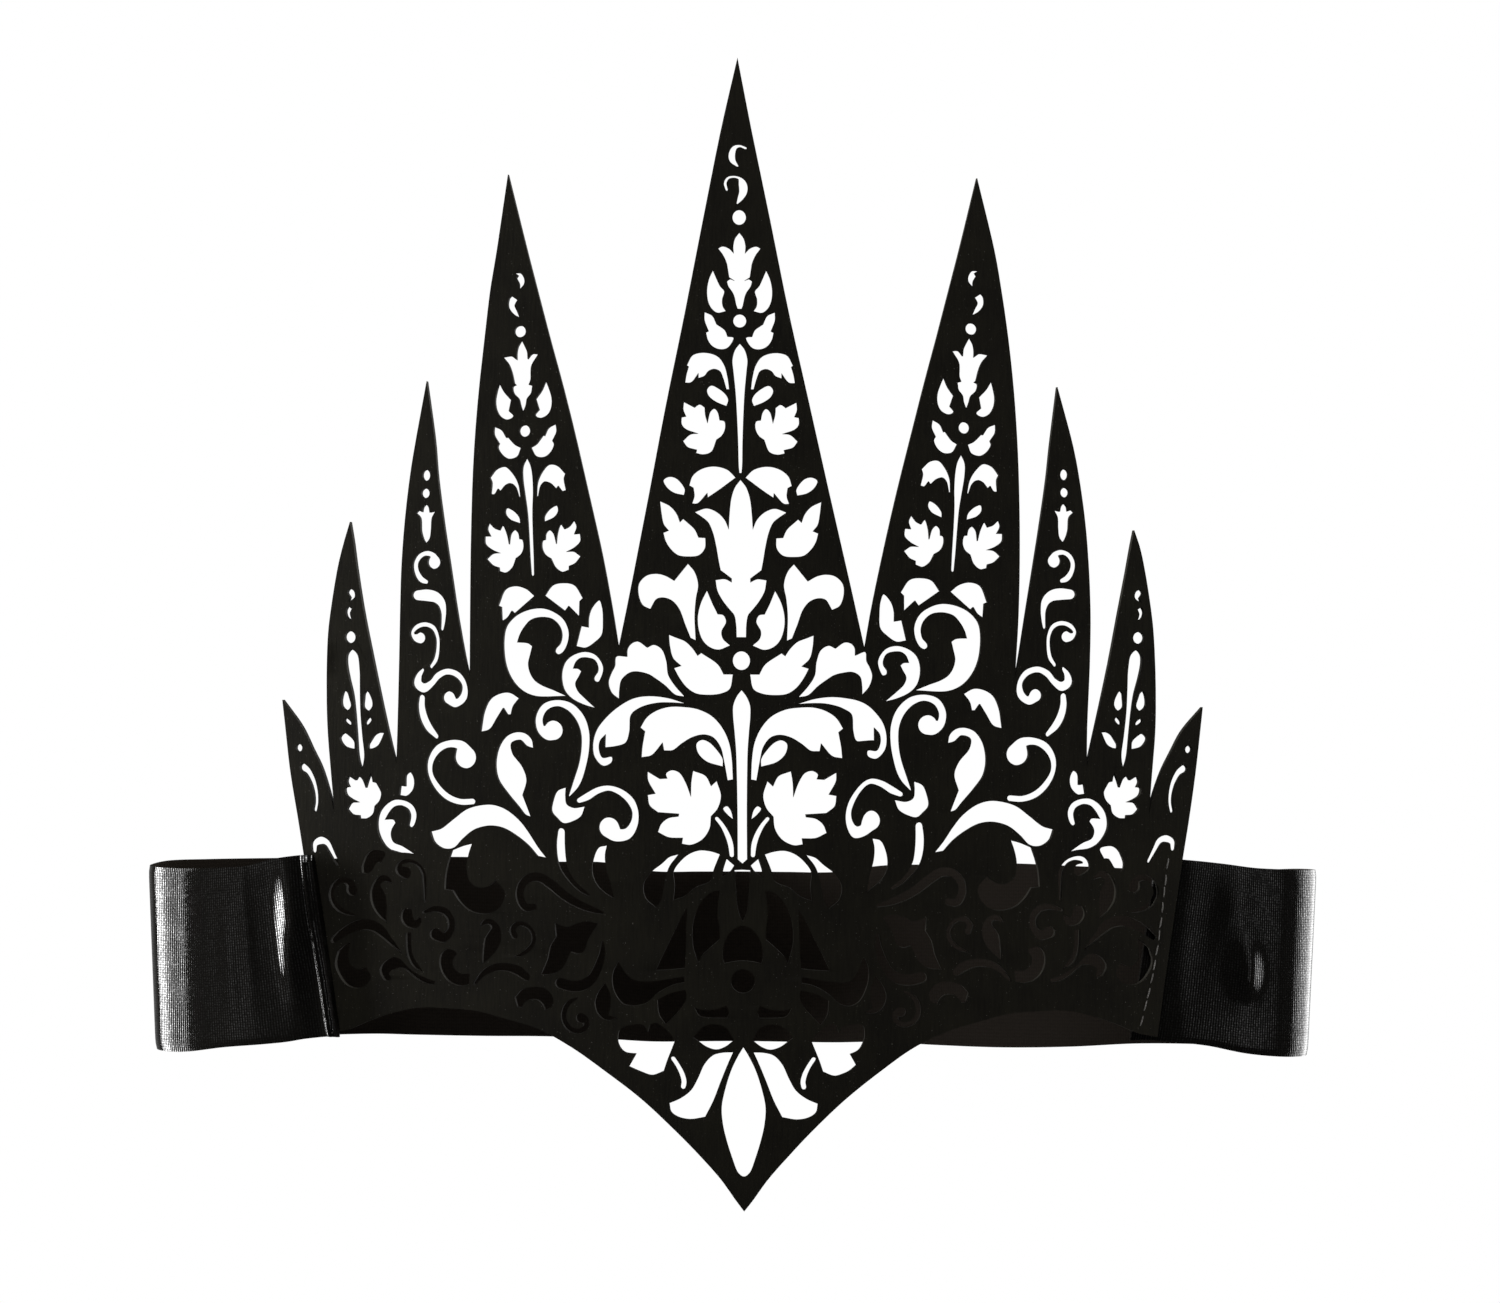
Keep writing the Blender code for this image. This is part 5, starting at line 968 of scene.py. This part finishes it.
# From the hemmed left end, round behind the head, to the right end:
# across and back to its inner face, middle height, height, how far its top leans outwards, thickness.
BAND_SECTIONS = [
    (-90.8, 10.05, 2.1, 39.6, 3.1, HEM_THICKNESS),
    (-92.9, 10.55, 2.1, 39.6, 3.1, HEM_THICKNESS),
    (-93.4, 10.67, 2.1, 39.6, 3.1, BAND_THICKNESS),
    (-98.5, 12.0, 1.45, 39.6, 2.9, BAND_THICKNESS),
    (-102.0, 13.1, 0.7, 39.6, 2.6, BAND_THICKNESS),
    (-107.0, 14.9, -0.3, 39.1, 2.0, BAND_THICKNESS),
    (-115.0, 18.6, -1.15, 39.5, 1.2, BAND_THICKNESS),
    (-124.0, 24.2, -2.2, 40.7, 0.3, BAND_THICKNESS),
    (-129.9, 29.2, -2.3, 40.9, 0.0, BAND_THICKNESS),
    (-131.5, 34.0, -2.1, 41.0, 0.0, BAND_THICKNESS),
    (-129.2, 38.3, -1.5, 41.2, 0.0, BAND_THICKNESS),
    (-120.5, 41.2, -1.15, 41.0, 0.0, BAND_THICKNESS),
    (-106.0, 43.2, -0.75, 40.6, 0.0, BAND_THICKNESS),
    (-90.0, 46.4, -0.5, 40.2, 0.0, BAND_THICKNESS),
    (-83.0, 48.7, 0.5, 42.3, 0.0, BAND_THICKNESS),
    (-75.0, 51.8, -0.6, 41.0, 0.0, BAND_THICKNESS),
    (-60.0, 58.7, -1.4, 41.1, 0.0, BAND_THICKNESS),
    (-45.0, 66.4, -2.4, 40.6, 0.0, BAND_THICKNESS),
    (-32.0, 72.8, -3.2, 41.2, 0.0, BAND_THICKNESS),
    (-21.0, 77.4, -4.8, 40.0, 0.0, BAND_THICKNESS),
    (-10.0, 80.6, -5.0, 40.0, 0.0, BAND_THICKNESS),
    (0.0, 81.6, -5.0, 40.0, 0.0, BAND_THICKNESS),
    (10.0, 80.6, -5.0, 40.0, 0.0, BAND_THICKNESS),
    (21.0, 77.4, -4.8, 40.0, 0.0, BAND_THICKNESS),
    (32.0, 72.8, -3.6, 41.2, 0.0, BAND_THICKNESS),
    (45.0, 66.4, -3.3, 41.9, 0.0, BAND_THICKNESS),
    (60.0, 58.7, -2.8, 42.4, 0.0, BAND_THICKNESS),
    (75.0, 51.8, -2.45, 41.3, 0.0, BAND_THICKNESS),
    (90.0, 46.4, -1.95, 39.7, 0.0, BAND_THICKNESS),
    (104.0, 43.2, -1.9, 39.4, 0.0, BAND_THICKNESS),
    (115.5, 41.4, -2.0, 40.0, 0.0, BAND_THICKNESS),
    (124.0, 38.9, -2.1, 41.2, 0.0, BAND_THICKNESS),
    (126.6, 34.6, -2.15, 41.5, 0.0, BAND_THICKNESS),
    (125.0, 29.3, -2.0, 41.6, 0.0, BAND_THICKNESS),
    (119.8, 24.9, -1.7, 41.6, -0.3, BAND_THICKNESS),
    (112.0, 20.9, -0.9, 41.0, -1.0, BAND_THICKNESS),
    (104.0, 17.6, 0.6, 40.0, -2.0, BAND_THICKNESS),
    (97.0, 15.05, 1.5, 39.7, -2.8, BAND_THICKNESS),
    (91.5, 13.65, 2.0, 39.6, -2.9, BAND_THICKNESS),
    (87.5, 12.72, 2.0, 39.6, -2.9, BAND_THICKNESS),
]

# Soft puckers of the outer face: where along the band from its end, height, reach along, reach up,
# how far they stand out.
LEFT_PUCKERS = [
    (0.4, 0.0, 0.5, 90.0, 0.2),
    (1.3, 0.0, 0.45, 90.0, -0.45),
    (2.1, 0.0, 0.6, 90.0, 0.25),
    (5.6, 8.0, 3.8, 9.5, 2.4),
    (8.8, -3.0, 2.2, 8.0, 0.9),
    (3.6, 12.0, 0.9, 16.0, -0.45),
    (18.5, 4.0, 2.0, 17.0, 0.3),
    (23.0, -2.0, 2.2, 15.0, 0.25),
]
RIGHT_PUCKERS = [
    (24.8, -2.5, 3.4, 6.0, 1.3),
    (21.0, 11.0, 4.5, 6.5, 0.45),
    (13.0, 0.0, 4.0, 14.0, -0.3),
]
# The stitches pull the hem in between them, which makes its two ridges ropy.
HEM_ROPE = 0.16
HEM_ROPE_PITCH = 3.0
HEM_ROPE_REACH = 2.6


def stand_out(run, length, up):
    """How far the outer face stands out at a place, in mm, from its puckers near both seams."""
    out = 0.0
    for puckers, from_end in ((LEFT_PUCKERS, run), (RIGHT_PUCKERS, length - run)):
        for at, height, reach, rise, depth in puckers:
            out += depth * math.exp(-(((from_end - at) / reach) ** 2) - ((up - height) / rise) ** 2)
    if run < HEM_ROPE_REACH:
        out += HEM_ROPE * math.cos(math.tau * up / HEM_ROPE_PITCH)
    return out


def band():
    """A wall swept along the sections, with a map of its run and height in metres for the knit."""
    sections = spline(BAND_SECTIONS, BAND_STEP, False)
    steps = np.linalg.norm(np.diff(sections[:, :2], axis=0), axis=1)
    runs = np.concatenate([[0.0], np.cumsum(steps)])
    along = np.gradient(sections[:, :2], axis=0)
    along /= np.linalg.norm(along, axis=1)[:, None]
    shape = bmesh.new()
    uv = shape.loops.layers.uv.new("knit")
    rings = []
    places = {}
    for section, (along_x, along_y), run in zip(sections, along, runs):
        across, back, middle, height, lean, thickness = section
        ring = []
        for upward, outward in ((1, thickness), (-1, 0.0)):
            for i in range(BAND_ROWS + 1):
                share = upward * (i / BAND_ROWS - 0.5)
                # The two cut edges are rounded over, so the wall thins towards them.
                rounding = 1 - (2 * abs(share)) ** ROUNDED * THINNED
                reach = thickness / 2 + (outward - thickness / 2) * rounding
                reach += 2 * share * FOLD_FLARE * along_y**2
                if outward:
                    reach += stand_out(run, runs[-1], height * share)
                x = across - 2 * lean * share * abs(along_x) - along_y * reach
                y = back + 2 * lean * share * along_y + along_x * reach
                vert = shape.verts.new((x * MM, (y - HEAD_CENTRE) * MM, (middle + height * share) * MM))
                places[vert] = (run * MM, height * share * MM)
                ring.append(vert)
        rings.append(ring)
    for ring, after in zip(rings, rings[1:]):
        for i, vert in enumerate(ring):
            j = (i + 1) % len(ring)
            face = shape.faces.new((vert, ring[j], after[j], after[i]))
            face.material_index = 0 if i <= BAND_ROWS else 1
    shape.faces.new(rings[0][::-1])
    shape.faces.new(rings[-1])
    bmesh.ops.recalc_face_normals(shape, faces=shape.faces)
    for face in shape.faces:
        face.smooth = True
        for loop in face.loops:
            loop[uv].uv = places[loop.vert]
    mesh = bpy.data.meshes.new("band")
    shape.to_mesh(mesh)
    shape.free()
    mesh.set_sharp_from_angle(angle=BAND_CREASE)
    obj = bpy.data.objects.new("band", mesh)
    bpy.context.scene.collection.objects.link(obj)
    return obj


def knit_loops(tree, place, across, up, randomness):
    """How far each point lies from the middle of its loop, with so many loops to the metre both ways."""
    space = add_node(tree, "ShaderNodeMapping", {"Scale": (across, up, 1.0)}, {"Vector": place})
    return add_node(
        tree, "ShaderNodeTexVoronoi", {"Scale": 1.0, "Randomness": randomness},
        {"Vector": space.outputs["Vector"]}, voronoi_dimensions="2D",
    ).outputs["Distance"]


def wet_look_knit():
    """Rib-knit polyester with a polyurethane film over it: black gloss broken up by the ribs."""
    material, tree, shader = new_material("wet_look_coated_knit", {"IOR": 1.8})
    place = add_node(tree, "ShaderNodeUVMap", uv_map="knit").outputs["UV"]
    rib_scale = math.tau / WAVE_TURN / (RIB_PITCH * MM)
    ribs = add_node(
        tree, "ShaderNodeTexWave", {"Scale": rib_scale, "Distortion": 0.5, "Detail": 1.0},
        {"Vector": place}, wave_type="BANDS", bands_direction="X",
    ).outputs["Fac"]
    # The film shines on the tops of the ribs and is broken between the loops along each, 0.55 mm high.
    loops = knit_loops(tree, place, LOOPS_ALONG, 1820.0, 0.4)
    tops = ranged(tree, ribs, 0.2, 0.8, 0.03, 1.0)
    unbroken = ranged(tree, loops, 0.15, 0.45, 1.0, 0.15)
    # The film is rubbed dull in patches about 4 mm across.
    rubbed = noise(tree, place, 240.0, 4.0, 0.6)
    kept = ranged(tree, rubbed, 0.38, 0.62, 0.65, 1.0)
    sockets = {
        "Base Color": toned(tree, loops, "#12110f", "#090808"),
        "Roughness": ranged(tree, rubbed, 0.3, 0.7, 0.12, 0.07),
        "Specular IOR Level": joined(tree, "MULTIPLY", joined(tree, "MULTIPLY", tops, unbroken), kept),
    }
    relief = add_node(tree, "ShaderNodeMath", {1: -0.5}, {0: loops, 2: ribs}, operation="MULTIPLY_ADD")
    link_surface(tree, shader, sockets, relief.outputs["Value"], 1.0, 0.000012)
    return material


def knit_back():
    """The uncoated back of the same knit: matte, with a grid of small loops."""
    material, tree, shader = new_material(
        "uncoated_knit_back", {"Roughness": 0.95, "Specular IOR Level": 0.1}
    )
    place = add_node(tree, "ShaderNodeUVMap", uv_map="knit").outputs["UV"]
    # Loops 0.58 mm apart along the band and 0.8 mm up it.
    loops = knit_loops(tree, place, LOOPS_ALONG, 1250.0, 0.25)
    colour = toned(tree, loops, "#25201b", "#191511")
    link_surface(tree, shader, {"Base Color": colour}, loops, 0.5, 0.0001, invert=True)
    return material


stretch_band = band()
stretch_band.data.materials.append(wet_look_knit())
stretch_band.data.materials.append(knit_back())
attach(stretch_band, "root")
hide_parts("strap")

# The seams. Both ends of the band are sewn on with one row of black polyester lockstitch each: through the
# hem on the left, and through the sheet and the band behind it on the right.

THREAD_WIDTH = 0.34
STITCH_LENGTH = 2.7
STITCH_PITCH = 3.0
STITCH_TURN = (0.06, 0.08, 0.0)  # the most that a stitch is out of line, in radians
STITCH_SEED = 5
LEFT_SEAM = [(-95.4, 19.5), (-92.8, 2.0), (-90.2, -15.5)]  # across, up
LEFT_SEAM_DEPTH = -2.2  # from the sheet's face to the hem's
RIGHT_SEAM = [(93.9, 20.7), (92.9, 13.0), (91.9, 5.1), (90.2, -4.2), (87.9, -13.2)]
RIGHT_SEAM_DEPTH = -0.12  # the thread lies on the sheet's face


def stitch_tree():
    """Evenly spaced stitches along a path, each a thread that dips in at both ends."""
    tree = bpy.data.node_groups.new("stitches", "GeometryNodeTree")
    face = tree.interface
    face.new_socket("Geometry", in_out="INPUT", socket_type="NodeSocketGeometry")
    for name in ("Pitch", "Length", "Thread", "Dip"):
        face.new_socket(name, in_out="INPUT", socket_type="NodeSocketFloat")
    face.new_socket("Material", in_out="INPUT", socket_type="NodeSocketMaterial")
    face.new_socket("Geometry", in_out="OUTPUT", socket_type="NodeSocketGeometry")
    given = add_node(tree, "NodeGroupInput").outputs
    path = add_node(tree, "GeometryNodeMeshToCurve", {}, {"Mesh": given["Geometry"]})
    spaced = add_node(
        tree, "GeometryNodeResampleCurve", {}, {"Curve": path.outputs["Curve"], "Length": given["Pitch"]},
        mode="LENGTH",
    )

    def share_of(name, share):
        part = add_node(tree, "ShaderNodeMath", {1: share}, {0: given[name]}, operation="MULTIPLY")
        return part.outputs["Value"]

    start = add_node(tree, "ShaderNodeCombineXYZ", {}, {"Y": given["Dip"], "Z": share_of("Length", -0.5)})
    end = add_node(tree, "ShaderNodeCombineXYZ", {}, {"Y": given["Dip"], "Z": share_of("Length", 0.5)})
    arch = add_node(
        tree, "GeometryNodeCurveQuadraticBezier", {"Resolution": 8, "Middle": (0.0, 0.0, 0.0)},
        {"Start": start.outputs["Vector"], "End": end.outputs["Vector"]},
    )
    around = add_node(
        tree, "GeometryNodeCurvePrimitiveCircle", {"Resolution": 10}, {"Radius": share_of("Thread", 0.5)}
    )
    thread = add_node(
        tree, "GeometryNodeCurveToMesh", {"Fill Caps": True},
        {"Curve": arch.outputs["Curve"], "Profile Curve": around.outputs["Curve"]},
    )
    tangent = add_node(tree, "GeometryNodeInputTangent")
    along = add_node(
        tree, "FunctionNodeAlignRotationToVector", {"Factor": 1.0}, {"Vector": tangent.outputs["Tangent"]},
        axis="Z",
    )
    jitter = add_node(
        tree, "FunctionNodeRandomValue",
        {"Min": [-turn for turn in STITCH_TURN], "Max": STITCH_TURN, "Seed": STITCH_SEED},
        data_type="FLOAT_VECTOR",
    )
    wobble = add_node(tree, "FunctionNodeEulerToRotation", {}, {"Euler": jitter.outputs["Value"]})
    turned = add_node(
        tree, "FunctionNodeRotateRotation", {},
        {"Rotation": along.outputs["Rotation"], "Rotate By": wobble.outputs["Rotation"]},
        rotation_space="LOCAL",
    )
    row = add_node(
        tree, "GeometryNodeInstanceOnPoints", {},
        {
            "Points": spaced.outputs["Curve"], "Instance": thread.outputs["Mesh"],
            "Rotation": turned.outputs["Rotation"],
        },
    )
    real = add_node(tree, "GeometryNodeRealizeInstances", {}, {"Geometry": row.outputs["Instances"]})
    dressed = add_node(
        tree, "GeometryNodeSetMaterial", {},
        {"Geometry": real.outputs["Geometry"], "Material": given["Material"]},
    )
    add_node(tree, "NodeGroupOutput", {}, {"Geometry": dressed.outputs["Geometry"]})
    return tree


def thread_material():
    """Spun polyester sewing thread, black with a soft sheen, and more sheen painted into its colour as pale
    grey flecks along its spin.
    """
    material, tree, shader = new_material(
        "polyester_thread", {"Roughness": 0.5, "Specular IOR Level": 0.4}
    )
    place = add_node(tree, "ShaderNodeTexCoord").outputs["Object"]
    # The spin repeats about every 0.35 mm. The pale grey flecks in the colour are a painted sheen, not the
    # thread's own colour.
    twist_and_painted_sheen = noise(tree, place, 2800.0, 1.0)
    link_surface(tree, shader, {"Base Color": toned(tree, twist_and_painted_sheen, "#2e2c2b", "#94918c")}, twist_and_painted_sheen, 0.5, 0.00006)
    return material


def stitched(name, seam, depth, tree, thread):
    """A plain mesh of the stitches along one seam."""
    path = bpy.data.meshes.new(name)
    points = [bent(across, up, depth) for across, up in spline(seam, 1.0, False)]
    path.from_pydata(points, [(i, i + 1) for i in range(len(points) - 1)], [])
    obj = bpy.data.objects.new(name, path)
    bpy.context.scene.collection.objects.link(obj)
    modifier = obj.modifiers.new("stitches", "NODES")
    modifier.node_group = tree
    values = {
        "Pitch": STITCH_PITCH * MM, "Length": STITCH_LENGTH * MM, "Thread": THREAD_WIDTH * MM,
        "Dip": THREAD_WIDTH * MM, "Material": thread,
    }
    for item in tree.interface.items_tree:
        if item.item_type == "SOCKET" and item.in_out == "INPUT" and item.name in values:
            modifier[item.identifier] = values[item.name]
    made = bpy.data.meshes.new_from_object(obj.evaluated_get(bpy.context.evaluated_depsgraph_get()))
    obj.modifiers.clear()
    obj.data = made
    made.shade_smooth()
    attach(obj, "root")


stitches = stitch_tree()
thread = thread_material()
stitched("left_stitches", LEFT_SEAM, LEFT_SEAM_DEPTH, stitches, thread)
stitched("right_stitches", RIGHT_SEAM, RIGHT_SEAM_DEPTH, stitches, thread)
bpy.data.node_groups.remove(stitches)

# The studio. A white table and backdrop, with a soft key above the camera. A tall strip light at the left
# and a wider one at the right are what the band's folds mirror, and weak ones fill its front and back.

CAMERA_DISTANCE = 0.900  # metres from the sheet's front
CAMERA_HEIGHT = 0.0669
CAMERA_ACROSS = 0.0012
CAMERA_ROLL = 0.005
SEEN_WIDTH = 0.3243  # metres at the sheet's front
SENSOR_WIDTH = 36.0
FLOOR_DROP = 0.120
STAGE_RADIUS = 4.0
STAGE_SIDES = 96
ROOM_LIGHT = 0.04

scene = bpy.context.scene
scene.view_settings.view_transform = "Standard"


def white_paper():
    """Overlit white paper, as bright as the film can show."""
    material = bpy.data.materials.new("white_paper")
    material.use_nodes = True
    tree = material.node_tree
    tree.nodes.remove(tree.nodes["Principled BSDF"])
    glow = add_node(tree, "ShaderNodeEmission", {"Color": paint("#ffffff"), "Strength": 1.0})
    tree.links.new(glow.outputs["Emission"], tree.nodes["Material Output"].inputs["Surface"])
    return material


def camera_only(obj):
    obj.visible_diffuse = False
    obj.visible_glossy = False
    obj.visible_shadow = False
    obj.visible_transmission = False


paper = white_paper()
stage_centre = (0.0, 0.0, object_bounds()[0][2] - FLOOR_DROP)
bpy.ops.mesh.primitive_circle_add(
    vertices=STAGE_SIDES, radius=STAGE_RADIUS, fill_type="NGON", location=stage_centre
)
floor = bpy.context.object
floor.name = "floor"
bpy.ops.mesh.primitive_uv_sphere_add(
    segments=STAGE_SIDES, ring_count=STAGE_SIDES // 2, radius=STAGE_RADIUS, location=stage_centre
)
backdrop = bpy.context.object
backdrop.name = "backdrop"
for obj in (floor, backdrop):
    obj.data.materials.append(paper)
    camera_only(obj)


def softbox(name, place, target, width, height, watts):
    """A rectangular area light that the camera doesn't see."""
    light = bpy.data.lights.new(name, "AREA")
    light.shape = "RECTANGLE"
    light.size = width
    light.size_y = height
    light.energy = watts
    obj = bpy.data.objects.new(name, light)
    obj.location = place
    aim = mathutils.Vector(target) - mathutils.Vector(place)
    obj.rotation_euler = aim.to_track_quat("-Z", "Y").to_euler()
    obj.visible_camera = False
    scene.collection.objects.link(obj)


softbox("key", (-0.1, -1.3, 1.5), (0.0, 0.0, 0.06), 1.2, 0.9, 20.0)
softbox("left_strip", (-1.425, 0.12, 0.05), (-0.13, -0.01, 0.0), 0.6, 1.4, 58.0)
softbox("left_front", (-1.16, -0.78, 0.05), (-0.11, -0.02, 0.0), 0.35, 0.9, 0.3)
softbox("left_back", (-0.9, 1.3, 0.1), (-0.13, 0.0, 0.0), 1.2, 1.4, 1.5)
softbox("right_strip", (1.275, 0.58, 0.05), (0.125, -0.01, 0.0), 1.6, 1.4, 42.0)
softbox("right_front", (1.18, -0.78, 0.05), (0.11, -0.02, 0.0), 0.35, 0.9, 0.5)
softbox("right_back", (0.75, 1.5, 0.1), (0.125, 0.0, 0.0), 0.9, 1.4, 2.0)

world = bpy.data.worlds.new("studio")
world.use_nodes = True
background = world.node_tree.nodes["Background"].inputs
background["Color"].default_value = paint("#ffffff")
background["Strength"].default_value = ROOM_LIGHT
scene.world = world

camera = bpy.data.objects.new("camera", bpy.data.cameras.new("camera"))
camera.data.sensor_width = SENSOR_WIDTH
camera.data.lens = SENSOR_WIDTH * CAMERA_DISTANCE / SEEN_WIDTH
camera.location = (CAMERA_ACROSS, -CAMERA_DISTANCE - HEAD_CENTRE * MM, CAMERA_HEIGHT)
upright = mathutils.Euler((math.pi / 2, 0.0, 0.0)).to_matrix()
camera.rotation_euler = (upright @ mathutils.Matrix.Rotation(CAMERA_ROLL, 3, "Z")).to_euler()
scene.collection.objects.link(camera)
scene.camera = camera
